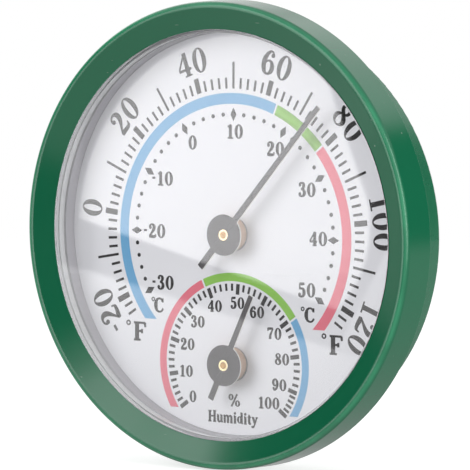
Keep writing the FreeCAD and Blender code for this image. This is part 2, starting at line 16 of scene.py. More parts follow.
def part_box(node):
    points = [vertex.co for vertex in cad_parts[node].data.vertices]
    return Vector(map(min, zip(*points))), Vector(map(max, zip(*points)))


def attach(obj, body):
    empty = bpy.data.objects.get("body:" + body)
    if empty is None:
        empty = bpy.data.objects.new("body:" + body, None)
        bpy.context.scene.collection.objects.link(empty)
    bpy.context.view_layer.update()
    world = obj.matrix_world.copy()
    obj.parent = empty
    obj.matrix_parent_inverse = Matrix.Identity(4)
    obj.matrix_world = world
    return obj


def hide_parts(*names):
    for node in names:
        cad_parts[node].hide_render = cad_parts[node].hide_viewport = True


bl_info = {
    "name": "Dial thermo-hygrometer",
    "version": (1, 0, 0),
    "blender": (4, 5, 0),
    "location": "View3D > Sidebar > Thermo-hygrometer",
    "description": "Builds the looks of a round dial thermo-hygrometer around its packed frame",
    "category": "Add Mesh",
}

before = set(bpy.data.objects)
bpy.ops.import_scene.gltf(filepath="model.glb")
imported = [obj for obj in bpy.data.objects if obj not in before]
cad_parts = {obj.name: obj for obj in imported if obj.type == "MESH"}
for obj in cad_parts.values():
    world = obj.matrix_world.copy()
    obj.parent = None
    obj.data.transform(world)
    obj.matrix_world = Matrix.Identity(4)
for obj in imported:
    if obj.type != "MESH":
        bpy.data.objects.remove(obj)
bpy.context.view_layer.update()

MM = 0.001
HALF_TURN = math.pi
FULL_TURN = 2 * math.pi
MERGE = 1e-7
SLACK = 1e-5


def length(name, text, default_mm):
    """A size property, given in millimetres."""
    return FloatProperty(name=name, description=text, default=default_mm * MM, unit="LENGTH", precision=5)


def angle(name, text, default_deg):
    """An angle property, given in degrees."""
    return FloatProperty(name=name, description=text, default=math.radians(default_deg), unit="ROTATION")


def share(name, text, default):
    """A plain factor."""
    return FloatProperty(name=name, description=text, default=default, precision=4)


def colour(name, text, hex_code):
    """A colour property, from a hexadecimal sRGB code, kept as linear light."""
    return FloatVectorProperty(name=name, description=text, subtype="COLOR", size=3, min=0, max=1,
                               default=linear(hex_code))


def linear(hex_code):
    """Linear red, green and blue of an sRGB code, by the two branches of the sRGB standard."""
    parts = [int(hex_code[i:i + 2], 16) / 255 for i in (0, 2, 4)]
    return tuple(p / 12.92 if p <= 0.04045 else ((p + 0.055) / 1.055) ** 2.4 for p in parts)


class RingSizes(bpy.types.PropertyGroup):
    """The front ring and the clear cover in it."""
    radius: FloatProperty(name="Ring radius", description="Half of the ring's outer diameter", unit="LENGTH",
                          default=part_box("front_bezel")[1].x)
    crest: FloatProperty(name="Crest", description="Y of the ring's foremost point", unit="LENGTH",
                         default=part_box("front_bezel")[0].y)
    depth: FloatProperty(name="Ring depth", description="Length of the ring along its axis", unit="LENGTH",
                         default=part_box("front_bezel")[1].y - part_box("front_bezel")[0].y)
    draft: length("Draft", "How much the ring's side widens towards the back", 0.35)
    wall: length("Wall", "Thickness of the ring's side", 2.0)
    lip: length("Crest radius", "Rounding of the crest", 1.6)
    dish: length("Dish", "The window's edge lies this far behind the crest", 2.8)
    window: length("Window radius", "Inner edge of the ring's face", 57.8)
    nose: length("Edge thickness", "Thickness of the ring at the window's edge", 1.2)
    edge: length("Edge rounding", "Rounding of the moulded edges", 0.18)
    seat: length("Cover seat radius", "Recess for the clear cover's flange", 60.1)
    boss_circle: length("Boss circle", "Radius of the circle of screw bosses", 62.1)
    boss: length("Boss radius", "Outer radius of a screw boss", 2.0)
    boss_bore: length("Boss bore", "Radius of a screw's pilot hole", 1.0)
    boss_front: length("Boss front", "Depth behind the crest at which a boss starts", 2.0)
    boss_back: length("Boss back", "Depth behind the crest at which a boss ends", 9.0)
    lens_front: length("Cover front", "Depth of the clear cover's face behind the crest", 2.6)
    lens_wall: length("Cover wall", "Thickness of the clear cover", 1.6)
    lens_radius: length("Cover radius", "Radius of the part that fills the window", 57.75)
    lens_flange: length("Flange radius", "Radius of the cover's flange", 59.9)
    lens_flange_front: length("Flange front", "Depth of the flange's front face", 4.0)
    lens_flange_wall: length("Flange wall", "Thickness of the flange", 1.5)
    skirt: length("Skirt radius", "Outer radius of the cover's skirt", 58.4)
    skirt_bore: length("Skirt bore", "Inner radius of the cover's skirt", 57.1)
    skirt_end: length("Skirt end", "Depth of the skirt's back edge", 7.8)
    groove: length("Groove", "Width of the fine grooves round the skirt's bore", 0.26)
    groove_from_end: length("Rear groove", "From the skirt's back edge to the nearest groove", 0.7)
    groove_from_face: length("Front groove", "From the cover's inner face to the nearest groove", 0.8)
    lens_edge: length("Cover edge", "Rounding of the cover's outer edges", 0.15)
    lens_corner: length("Cover corner", "Rounding of the cover's inner corners", 0.05)
    lens_fillet: length("Cover fillet", "Fillet between the cover's inner face and its skirt", 0.3)


class DialSizes(bpy.types.PropertyGroup):
    """The printed scales, as radii from each scale's centre."""
    temperature_z: length("Temperature centre", "Z of the temperature scale's centre", -0.3)
    humidity_z: length("Humidity centre", "Z of the humidity scale's centre", -36.8)
    ink: length("Ink", "Thickness of the printed ink", 0.03)
    fahrenheit_step: angle("Fahrenheit step", "Angle of one degree Fahrenheit", 5 / 3)
    celsius_step: angle("Celsius step", "Angle of one degree Celsius", 3.0)
    band_in: length("Band inner radius", "Inner radius of the temperature colour band", 37.0)
    band_out: length("Band outer radius", "Outer radius of the temperature colour band", 40.05)
    band_end_z: length("Band end", "Z at which the temperature colour band is cut off", -25.5)
    tick_in: length("Tick inner radius", "Inner end of the fine temperature ticks", 41.3)
    tick_out: length("Tick outer radius", "Outer end of the fine temperature ticks", 44.35)
    tick_w: length("Tick width", "Width of the fine temperature ticks", 0.72)
    bar_in: length("Bar inner radius", "Inner end of the thick temperature ticks", 41.3)
    bar_out: length("Bar outer radius", "Outer end of the thick temperature ticks", 45.6)
    bar_w: length("Bar width", "Width of the thick temperature ticks", 1.6)
    long_out: length("Long outer radius", "Outer end of the long temperature ticks", 48.8)
    dot_ring: length("Dot circle", "Radius of the circle of Celsius dots", 34.05)
    dot: length("Dot", "Radius of a Celsius dot", 0.6)
    diamond_h: length("Diamond height", "Radial size of a Celsius diamond", 3.8)
    diamond_w: length("Diamond width", "Width of a Celsius diamond", 2.05)
    big_ring: length("Numeral circle", "Radius of the circle of large numerals", 50.45)
    big_h: length("Large numerals", "Height of the Fahrenheit numerals", 7.05)
    small_h: length("Small numerals", "Height of the Celsius numerals", 4.0)
    humidity_band_in: length("Humidity band inner radius", "Inner radius of the humidity colour band", 23.5)
    humidity_band_out: length("Humidity band outer radius", "Outer radius of the humidity colour band", 25.85)
    humidity_end_z: length("Humidity band end", "Z at which the humidity colour band is cut off", -50.3)
    humidity_tick_in: length("Humidity tick inner radius", "Inner end of the fine humidity ticks", 20.75)
    humidity_bar_in: length("Humidity bar inner radius", "Inner end of the thick humidity ticks", 19.8)
    humidity_tick_out: length("Humidity tick outer radius", "Outer end of the humidity ticks", 22.8)
    humidity_tick_w: length("Humidity tick width", "Width of the fine humidity ticks", 0.75)
    humidity_bar_w: length("Humidity bar width", "Width of the thick humidity ticks", 1.2)
    humidity_h: length("Humidity numerals", "Height of the humidity numerals", 3.3)


class MovementSizes(bpy.types.PropertyGroup):
    """Pointers, coils and eyelets of both movements."""
    hub: length("Hub radius", "Radius of a pointer's hub disc", 5.86)
    hub_bore: length("Hub bore", "Radius of the hole for the eyelet", 1.25)
    sheet: length("Pointer sheet", "Thickness of a pointer", 0.4)
    burr: length("Pointer edge", "Rounding of a pointer's stamped edge", 0.07)
    neck: length("Neck", "Fillet between hub disc and blade", 0.5)
    tip_round: length("Tip rounding", "Rounding of the corners of blades and tails", 0.2)
    temperature_reach: length("Temperature reach", "Hub centre to the pointer's tip", 48.8)
    temperature_tail: length("Temperature tail", "Hub centre to the tail's end", 12.56)
    temperature_root_w: length("Temperature root", "Width of the blade at the hub", 1.95)
    temperature_tip_w: length("Temperature tip", "Width of the blade at its tip", 1.55)
    temperature_tail_w: length("Temperature tail width", "Width of the tail", 2.1)
    temperature_rest: angle("Temperature reading", "Angle of the pointer at rest", 41.2)
    humidity_reach: length("Humidity reach", "Hub centre to the pointer's tip", 22.2)
    humidity_tail: length("Humidity tail", "Hub centre to the tail's end", 10.9)
    humidity_root_w: length("Humidity root", "Width of the blade at the hub", 1.9)
    humidity_tip_w: length("Humidity tip", "Width of the blade at its tip", 1.6)
    humidity_tail_w: length("Humidity tail width", "Width of the tail", 2.0)
    humidity_rest: angle("Humidity reading", "Angle of the pointer at rest", 25.06)
    tab_angle: angle("Tab angle", "Place of the coil's tab behind the hub, from the blade", 230.0)
    tab_w: length("Tab width", "Width of the coil's tab", 1.5)
    tab_t: length("Tab thickness", "Thickness of the coil's tab", 0.35)
    tab_len: length("Tab length", "Length of the tab behind the hub disc", 2.6)
    tab_gap: length("Tab gap", "Gap between the coil and its tab", 0.1)
    tab_round: length("Tab rounding", "Rounding of the tab's long edges", 0.08)
    coil: length("Coil radius", "Outer radius of the coil", 5.0)
    coil_inner: length("Coil inner radius", "Middle line of the coil's innermost turn", 1.55)
    strip: length("Strip", "Thickness of the coil's strip", 0.2)
    strip_round: length("Strip rounding", "Rounding of the strip's edges", 0.04)
    coil_turns: share("Coil turns", "Number of turns of the coil", 4.75)
    coil_sink: length("Coil sink", "How much nearer to the dial the strip's edge comes", 0.15)
    eyelet_bore: length("Eyelet bore", "Radius of the eyelet's bore", 0.95)
    eyelet_rim: length("Eyelet rim", "Radius of the eyelet's rolled rim", 1.6)
    eyelet_roll: length("Eyelet roll", "Rounding of the eyelet's front", 0.15)
    eyelet_edge: length("Eyelet edge", "Rounding of the eyelet's other edges", 0.05)


class Finishes(bpy.types.PropertyGroup):
    """Colours as written on the object's own surfaces, with a painted highlight along the ring's crest and
    painted shade on the tray.
    """
    green: colour("Green plastic", "Ring, housing and leg", "0E5D3F")
    # Paler edge green: on the ring's crest a painted highlight that stands for its bright lines, as well as
    # edge wear
    mint: colour("Edge green", "Paler green along the ring's and housing's edges", "3E9C72")
    # The tray's white plastic is set grey: painted shade of its wall in the recess round the dial
    white: colour("White plastic", "Tray behind the dial", "A8A6AC")
    dial: colour("Dial", "Printed sheet", "E6E4E9")
    ink: colour("Black ink", "Ticks, numerals and words", "191618")
    blue: colour("Blue ink", "Colour bands", "68A5CF")
    leaf: colour("Green ink", "Colour bands", "86BE4B")
    red: colour("Red ink", "Colour bands", "DF6C7E")
    enamel: colour("Black enamel", "Pointers", "4C4548")
    bare: colour("Bare edge", "Sheared edges of the pointers", "F3F1EE")
    brass: colour("Brass", "Eyelets, adjusters, bushes and nuts", "F0DBA8")
    pin: colour("Post brass", "Duller brass of the posts", "B89058")
    strip: colour("Coil strip", "Bimetal strip of the coils", "D0AF94")
    steel: colour("Steel", "Screws, washers and hinge pins", "B9BABD")


class StudioSizes(bpy.types.PropertyGroup):
    """Camera, lamps, reflecting cards and floor."""
    azimuth: angle("Azimuth", "Camera's angle to the right of the dial's axis", 35.75)
    elevation: angle("Elevation", "Camera's angle above the horizon", 4.251)
    distance: length("Distance", "Camera to the middle of the case's crest, along the view", 1114.2)
    across: length("Shift right", "Camera's place to the right of the view's axis", 6.78)
    above: length("Shift up", "Camera's place above the view's axis", 0.40)
    focal: share("Focal length", "Focal length in millimetres", 305.5)
    sensor: share("Sensor", "Sensor width in millimetres", 36.0)
    floor_radius: length("Floor radius", "Radius at which the floor has faded out", 900)
    floor_gap: length("Floor gap", "From the ring down to the floor", 0.2)
    world_light: share("World light", "Even light from all round", 0.55)


def sizes(group):
    """One of the scene's property groups."""
    return getattr(bpy.context.scene, "hygrometer_" + group)


# Meshes

LEAST_ARC_STEPS = 5
ARC_STEPS_PER_MM = 11
LONGEST_ARC_SHARE = 0.49
ROUND_STEPS = 300
BOSS_STEPS = 48
BOSS_TURNS = (45, 135, 225, 315)
GROOVES = 4
EYELET_STEPS = 72
HUB_STEPS = 60
BURR_STEPS = 4
COIL_STEPS_PER_TURN = 96
BAND_STEPS = 120
FLAT_FACE_WEIGHT = 100
# Shares of edge wear on a pointer's and a strip's edges
HAND_WEAR = 0.6
STRIP_WEAR = 0.5


class Shell:
    """Closed surfaces: points, faces, the finish of each face and how far each point is on an edge."""

    def __init__(self, points, faces, paint=None, edge=None):
        self.points = points
        self.faces = faces
        self.paint = np.zeros(len(faces), int) if paint is None else paint
        self.edge = np.zeros(len(points)) if edge is None else edge


def lofted(grid, wrap=False, loop=True, paint=None, edge=None):
    """Shells from a grid of shells x stations x corners x 3.

    Each station's corners join the next station's; the stations join round if wrap is set, and so do a
    station's corners if loop is set. The ends of a shell that doesn't wrap are filled by one face each.
    Paint holds a finish for each step from corner to corner, and edge a share for each corner.
    """
    shells, stations, corners = grid.shape[:3]
    last = stations if wrap else stations - 1
    steps = corners if loop else corners - 1
    s, c = np.meshgrid(np.arange(last), np.arange(steps), indexing="ij")
    s_next, c_next = (s + 1) % stations, (c + 1) % corners
    here, ahead = s * corners, s_next * corners
    quads = np.stack([here + c, here + c_next, ahead + c_next, ahead + c], -1)
    starts = np.arange(shells)[:, None, None] * stations * corners
    faces = (quads.reshape(1, -1, 4) + starts).reshape(-1, 4).tolist()
    finish = np.zeros(steps, int) if paint is None else np.asarray(paint, int)
    finishes = np.tile(finish, last * shells)
    if not wrap:
        for cap in (np.arange(corners)[::-1], np.arange(corners) + (stations - 1) * corners):
            faces += (cap[None] + starts[:, 0]).tolist()
        finishes = np.concatenate([finishes, np.full(2 * shells, finish[0])])
    shares = None if edge is None else np.tile(edge, shells * stations)
    return Shell(grid.reshape(-1, 3), faces, finishes, shares)


def joined(shells):
    """Several shells as one."""
    starts = np.cumsum([0] + [len(shell.points) for shell in shells])
    faces = [[i + start for i in face] for shell, start in zip(shells, starts) for face in shell.faces]
    return Shell(np.concatenate([shell.points for shell in shells]), faces,
                 np.concatenate([shell.paint for shell in shells]),
                 np.concatenate([shell.edge for shell in shells]))


def add_piece(name, shells, materials, body, replaced=()):
    """A new object from closed shells, on its body and with its finish.

    Doubled points are merged, which closes the poles, and the faces are turned to point outwards.
    """
    shell = joined(shells)
    mesh = bpy.data.meshes.new(name)
    mesh.from_pydata(shell.points.tolist(), [], shell.faces)
    mesh.polygons.foreach_set("material_index", shell.paint.astype(np.int32))
    mesh.attributes.new("edge", "FLOAT", "POINT").data.foreach_set("value", shell.edge.astype(np.float32))
    build = bmesh.new()
    build.from_mesh(mesh)
    bmesh.ops.remove_doubles(build, verts=build.verts, dist=MERGE)
    bmesh.ops.recalc_face_normals(build, faces=build.faces)
    build.to_mesh(mesh)
    build.free()
    for material in materials:
        mesh.materials.append(material)
    mesh.shade_smooth()
    piece = bpy.data.objects.new(name, mesh)
    bpy.context.scene.collection.objects.link(piece)
    weighted = piece.modifiers.new("Flat faces stay flat", "WEIGHTED_NORMAL")
    weighted.weight = FLAT_FACE_WEIGHT
    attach(piece, body)
    if replaced:
        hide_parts(*replaced)
    return piece


def tangent_place(outside, centre, radius, side):
    """Where a line from a point touches a circle, both as (radius, depth)."""
    along, down = centre[0] - outside[0], centre[1] - outside[1]
    distance = math.hypot(along, down)
    turn = math.atan2(down, along) + side * math.asin(radius / distance)
    run = math.sqrt(distance ** 2 - radius ** 2)
    return outside[0] + run * math.cos(turn), outside[1] + run * math.sin(turn)


def meeting(a, b, c, d):
    """Where the line through a and b meets the line through c and d."""
    a, b, c, d = (np.array(p, float) for p in (a, b, c, d))
    run = np.linalg.solve(np.column_stack([b - a, c - d]), c - a)
    return tuple(a + (b - a) * run[0])


def rounded(corners):
    """A closed outline through (u, v, rounding) corners, with an arc that both sides touch at each.

    Returns the points, and for each the share by which it lies on an edge: the cube of the sine of its
    way round the arc.
    """
    places = np.array([c[:2] for c in corners], float)
    points, shares = [], []
    for i, corner in enumerate(corners):
        here = places[i]
        if len(corner) < 3:
            points.append(here[None])
            shares.append(np.zeros(1))
            continue
        before = places[i - 1] - here
        after = places[(i + 1) % len(places)] - here
        reach = min(np.linalg.norm(before), np.linalg.norm(after)) * LONGEST_ARC_SHARE
        before /= np.linalg.norm(before)
        after /= np.linalg.norm(after)
        half = math.acos(np.clip(before @ after, -1, 1)) / 2
        run = min(corner[2] / math.tan(half), reach)
        middle = (before + after) / np.linalg.norm(before + after)
        centre = here + middle * run / math.cos(half)
        sweep = HALF_TURN - 2 * half
        t = np.linspace(0, 1, LEAST_ARC_STEPS + int(corner[2] / MM * ARC_STEPS_PER_MM))[:, None]
        spokes = (np.sin((1 - t) * sweep) * (here + before * run - centre)
                  + np.sin(t * sweep) * (here + after * run - centre)) / math.sin(sweep)
        points.append(centre + spokes)
        shares.append(np.sin(HALF_TURN * t[:, 0]) ** 3)
    return np.concatenate(points), np.concatenate(shares)


def turned(section, edge, steps=ROUND_STEPS, centre_z=0.0, centre_x=0.0, loop=True, paint=None):
    """A surface of revolution about a line along Y.

    A section point of radius r and place y goes to (r sin t, y, r cos t) for t round the full turn. An
    open section starts and ends on the axis.
    """
    t = np.linspace(0, FULL_TURN, steps, endpoint=False)[:, None]
    r, y = section[:, 0][None], section[:, 1][None]
    grid = np.stack([centre_x + r * np.sin(t), y + 0 * t, centre_z + r * np.cos(t)], -1)
    return lofted(grid[None], wrap=True, loop=loop, paint=paint, edge=edge)


def dial_points(places, y):
    """Points of the plane at y from an array whose last axis is (across, up)."""
    return np.stack([places[..., 0], np.full(places.shape[:-1], y), places[..., 1]], -1)


def turned_places(places, turn, x=0.0, z=0.0):
    """(across, up) places turned clockwise and moved."""
    c, s = math.cos(turn), math.sin(turn)
    across = places[..., 0] * c + places[..., 1] * s
    up = places[..., 1] * c - places[..., 0] * s
    return np.stack([across + x, up + z], -1)


def prisms(outlines, front, back):
    """Closed flat prisms from an array prisms x corners x 2: the same outline at two depths."""
    return lofted(np.stack([dial_points(outlines, front), dial_points(outlines, back)], 1))


def ribbons(edges, front, back, closed):
    """Closed flat strips from an array strips x stations x 2 edges x 2.

    Each station's loop has four corners.
    """
    left, right = edges[:, :, 0], edges[:, :, 1]
    grid = np.stack([dial_points(left, front), dial_points(right, front),
                     dial_points(right, back), dial_points(left, back)], 2)
    return lofted(grid, wrap=closed)


def inset(outline, by):
    """A closed outline moved inwards along the normal of its neighbours' chord."""
    chord = np.roll(outline, -1, 0) - np.roll(outline, 1, 0)
    chord /= np.linalg.norm(chord, axis=1)[:, None]
    ahead = np.roll(outline, -1, 0)
    area = np.sum(outline[:, 0] * ahead[:, 1] - ahead[:, 0] * outline[:, 1])
    inwards = np.column_stack([-chord[:, 1], chord[:, 0]]) * math.copysign(1, area)
    return outline + inwards * by


# Lettering: every glyph is drawn by pen strokes in units of the capitals' height.

PEN_STEPS = 18
BALL_CORNERS = 16


def pen_line(knots, closed=False):
    """Places and pen widths along a smooth line through the (x, y, half width) knots.

    Between two knots it is the cubic whose slope at each knot is half the step from the knot before to
    the knot after.
    """
    knots = np.array(knots, float)
    if closed:
        padded = np.vstack([knots[-1:], knots, knots[:2]])
        spans = len(knots)
    else:
        padded = np.vstack([2 * knots[0] - knots[1], knots, 2 * knots[-1] - knots[-2]])
        spans = len(knots) - 1
    steps = PEN_STEPS if spans > 1 else 2
    place = np.linspace(0, spans, steps, endpoint=not closed)
    i = np.minimum(place.astype(int), spans - 1)
    t = (place - i)[:, None]
    a, b, c, d = (padded[i + k] for k in range(4))
    return ((-t ** 3 + 2 * t ** 2 - t) * a + (3 * t ** 3 - 5 * t ** 2 + 2) * b
            + (-3 * t ** 3 + 4 * t ** 2 + t) * c + (t ** 3 - t ** 2) * d) / 2


def stroke(knots):
    """Both edges of a pen stroke: its line moved to each side by the half width."""
    line = pen_line(knots)
    along = np.gradient(line[:, :2], axis=0)
    along /= np.linalg.norm(along, axis=1)[:, None]
    side = np.column_stack([-along[:, 1], along[:, 0]]) * line[:, 2:]
    return np.stack([line[:, :2] + side, line[:, :2] - side], 1)


def bowl(x, y, half_w, half_h, thick, thin):
    """Both edges of a closed bowl: two ellipses, with thick sides and thin ends between them."""
    t = np.linspace(0, FULL_TURN, 2 * PEN_STEPS, endpoint=False)
    outer = np.column_stack([x + half_w * np.sin(t), y + half_h * np.cos(t)])
    inner_w, inner_h = half_w - thick, half_h - thin
    inner = np.column_stack([x + inner_w * np.sin(t), y + inner_h * np.cos(t)])
    return np.stack([outer, inner], 1)


def ball(x, y, radius):
    """A round terminal."""
    t = np.linspace(0, FULL_TURN, BALL_CORNERS, endpoint=False)
    return np.column_stack([x + radius * np.sin(t), y + radius * np.cos(t)])


def serif(x_from, x_to, y, half=0.026):
    """A thin flat serif."""
    return [(x_from, y, half), (x_to, y, half)]


def stem(x, low, high, half):
    """An upright stroke."""
    return [(x, low, half), (x, high, half)]


SIX_STROKES = [[(0.50, 0.85, 0.03), (0.40, 0.965, 0.035), (0.24, 0.86, 0.065), (0.125, 0.60, 0.09),
                (0.115, 0.36, 0.095), (0.18, 0.11, 0.075), (0.32, 0.025, 0.035), (0.46, 0.12, 0.075),
                (0.515, 0.31, 0.09), (0.46, 0.50, 0.07), (0.34, 0.58, 0.035), (0.21, 0.51, 0.03),
                (0.14, 0.38, 0.03)]]
SIX_BALLS = [(0.47, 0.80, 0.08)]

# Glyph: width, strokes of (x, y, half width) knots, bowls of (x, y, half width, half height, side, end)
# and balls of (x, y, radius)
GLYPHS = {
    "0": (0.64, [], [(0.32, 0.5, 0.31, 0.51, 0.18, 0.055)], []),
    "1": (0.56, [stem(0.31, 0.02, 0.97, 0.088), serif(0.09, 0.53, 0.026),
                 [(0.36, 0.975, 0.03), (0.22, 0.86, 0.045), (0.09, 0.80, 0.022)]], [], []),
    "2": (0.64, [[(0.10, 0.76, 0.03), (0.14, 0.89, 0.04), (0.29, 0.96, 0.04), (0.43, 0.89, 0.08),
                  (0.475, 0.73, 0.10), (0.41, 0.54, 0.085), (0.25, 0.33, 0.05), (0.08, 0.12, 0.03)],
                 [(0.05, 0.07, 0.06), (0.20, 0.10, 0.095), (0.38, 0.075, 0.08), (0.54, 0.085, 0.07)],
                 [(0.53, 0.06, 0.06), (0.58, 0.14, 0.035), (0.605, 0.27, 0.02)]], [],
          [(0.155, 0.735, 0.085)]),
    "3": (0.62, [[(0.11, 0.83, 0.028), (0.17, 0.93, 0.035), (0.28, 0.97, 0.035), (0.42, 0.90, 0.07),
                  (0.455, 0.76, 0.085), (0.39, 0.61, 0.06), (0.25, 0.53, 0.03)],
                 [(0.24, 0.535, 0.03), (0.42, 0.47, 0.06), (0.505, 0.29, 0.095), (0.43, 0.09, 0.07),
                  (0.26, 0.025, 0.035), (0.14, 0.06, 0.03), (0.09, 0.15, 0.028)]], [],
          [(0.155, 0.80, 0.075), (0.145, 0.185, 0.085)]),
    "4": (0.64, [stem(0.43, 0.02, 0.97, 0.085),
                 [(0.46, 0.97, 0.028), (0.24, 0.64, 0.03), (0.05, 0.34, 0.028)],
                 [(0.03, 0.29, 0.045), (0.62, 0.29, 0.045)], serif(0.27, 0.59, 0.026)], [], []),
    "5": (0.62, [[(0.15, 0.95, 0.04), (0.32, 0.915, 0.075), (0.53, 0.95, 0.05)],
                 stem(0.155, 0.54, 0.95, 0.03),
                 [(0.13, 0.55, 0.028), (0.28, 0.605, 0.04), (0.44, 0.53, 0.08), (0.505, 0.32, 0.095),
                  (0.43, 0.10, 0.075), (0.26, 0.025, 0.035), (0.14, 0.06, 0.03), (0.09, 0.15, 0.028)]], [],
          [(0.145, 0.185, 0.085)]),
    "6": (0.62, SIX_STROKES, [], SIX_BALLS),
    "7": (0.62, [[(0.06, 0.90, 0.075), (0.30, 0.91, 0.075), (0.58, 0.93, 0.055)],
                 stem(0.075, 0.70, 0.96, 0.03),
                 [(0.56, 0.90, 0.035), (0.42, 0.62, 0.05), (0.31, 0.33, 0.08), (0.28, 0.02, 0.09)]], [], []),
    "8": (0.62, [[(0.13, 0.78, 0.05), (0.22, 0.62, 0.075), (0.40, 0.45, 0.085), (0.50, 0.26, 0.07)]],
          [(0.31, 0.755, 0.23, 0.25, 0.12, 0.05), (0.31, 0.27, 0.29, 0.28, 0.15, 0.055)], []),
    "9": (0.62, [[(0.62 - x, 1 - y, w) for x, y, w in SIX_STROKES[0]]], [],
          [(0.62 - x, 1 - y, r) for x, y, r in SIX_BALLS]),
    "-": (0.27, [[(0.0, 0.52, 0.05), (0.25, 0.52, 0.05)]], [], []),
    "%": (1.08, [[(0.80, 1.0, 0.03), (0.28, 0.0, 0.03)]],
          [(0.24, 0.74, 0.19, 0.25, 0.085, 0.04), (0.83, 0.26, 0.19, 0.25, 0.085, 0.04)], []),
    "o": (0.36, [], [(0.15, 0.86, 0.125, 0.125, 0.04, 0.04)], []),
    "C": (0.70, [[(0.61, 0.72, 0.018), (0.53, 0.90, 0.022), (0.37, 0.98, 0.024), (0.17, 0.86, 0.045),
                  (0.095, 0.50, 0.085), (0.17, 0.14, 0.045), (0.37, 0.02, 0.024), (0.54, 0.09, 0.022),
                  (0.64, 0.27, 0.018)], stem(0.61, 0.70, 0.99, 0.018)], [], []),
    "F": (0.70, [stem(0.21, 0.02, 0.98, 0.072), serif(0.04, 0.64, 0.972), serif(0.04, 0.40, 0.026),
                 serif(0.21, 0.47, 0.51, 0.024), stem(0.47, 0.39, 0.63, 0.02),
                 [(0.62, 0.98, 0.028), (0.65, 0.74, 0.014)]], [], []),
    "H": (0.86, [stem(0.19, 0.02, 0.98, 0.078), stem(0.67, 0.02, 0.98, 0.078), serif(0.03, 0.35, 0.974),
                 serif(0.03, 0.35, 0.026), serif(0.51, 0.83, 0.974), serif(0.51, 0.83, 0.026),
                 serif(0.19, 0.67, 0.51, 0.03)], [], []),
    "u": (0.66, [[(0.155, 0.66, 0.072), (0.155, 0.25, 0.074), (0.20, 0.08, 0.06), (0.32, 0.035, 0.04),
                  (0.45, 0.12, 0.03)], stem(0.50, 0.03, 0.68, 0.072), serif(0.03, 0.16, 0.655),
                 serif(0.36, 0.50, 0.655), serif(0.50, 0.63, 0.026)], [], []),
    "m": (1.00, [stem(0.155, 0.02, 0.68, 0.072), serif(0.03, 0.15, 0.655), serif(0.04, 0.27, 0.026),
                 [(0.20, 0.55, 0.03), (0.32, 0.645, 0.04), (0.44, 0.60, 0.062), (0.49, 0.45, 0.072),
                  (0.49, 0.02, 0.072)], serif(0.38, 0.60, 0.026),
                 [(0.54, 0.55, 0.03), (0.66, 0.645, 0.04), (0.78, 0.60, 0.062), (0.83, 0.45, 0.072),
                  (0.83, 0.02, 0.072)], serif(0.72, 0.96, 0.026)], [], []),
    "i": (0.36, [stem(0.18, 0.02, 0.68, 0.072), serif(0.05, 0.18, 0.655), serif(0.05, 0.31, 0.026)], [],
          [(0.175, 0.90, 0.085)]),
    "d": (0.66, [stem(0.48, 0.03, 1.0, 0.072), serif(0.35, 0.48, 0.975), serif(0.48, 0.62, 0.026)],
          [(0.27, 0.345, 0.225, 0.335, 0.125, 0.05)], []),
    "t": (0.42, [[(0.19, 0.88, 0.03), (0.19, 0.60, 0.07), (0.19, 0.20, 0.072), (0.25, 0.05, 0.045),
                  (0.37, 0.10, 0.025)], serif(0.04, 0.38, 0.655, 0.03)], [], []),
    "y": (0.64, [[(0.14, 0.66, 0.072), (0.25, 0.36, 0.07), (0.34, 0.06, 0.05)],
                 [(0.52, 0.66, 0.028), (0.42, 0.36, 0.03), (0.30, 0.00, 0.03), (0.20, -0.22, 0.03),
                  (0.08, -0.26, 0.03)], serif(0.02, 0.27, 0.655), serif(0.40, 0.62, 0.655)], [],
          [(0.08, -0.20, 0.07)]),
}

# Shares of the capitals' height: gap between glyphs, and by how much the lines grow on each side
GLYPH_GAP = 0.12
SMALL_BOLD = 0.03
LARGE_BOLD = 0.008
# Width of the glyphs against the tables'
GLYPH_WIDE = 1.06
# Wall of a degree ring as a share of its radius
DEGREE_WALL_SHARE = 0.55


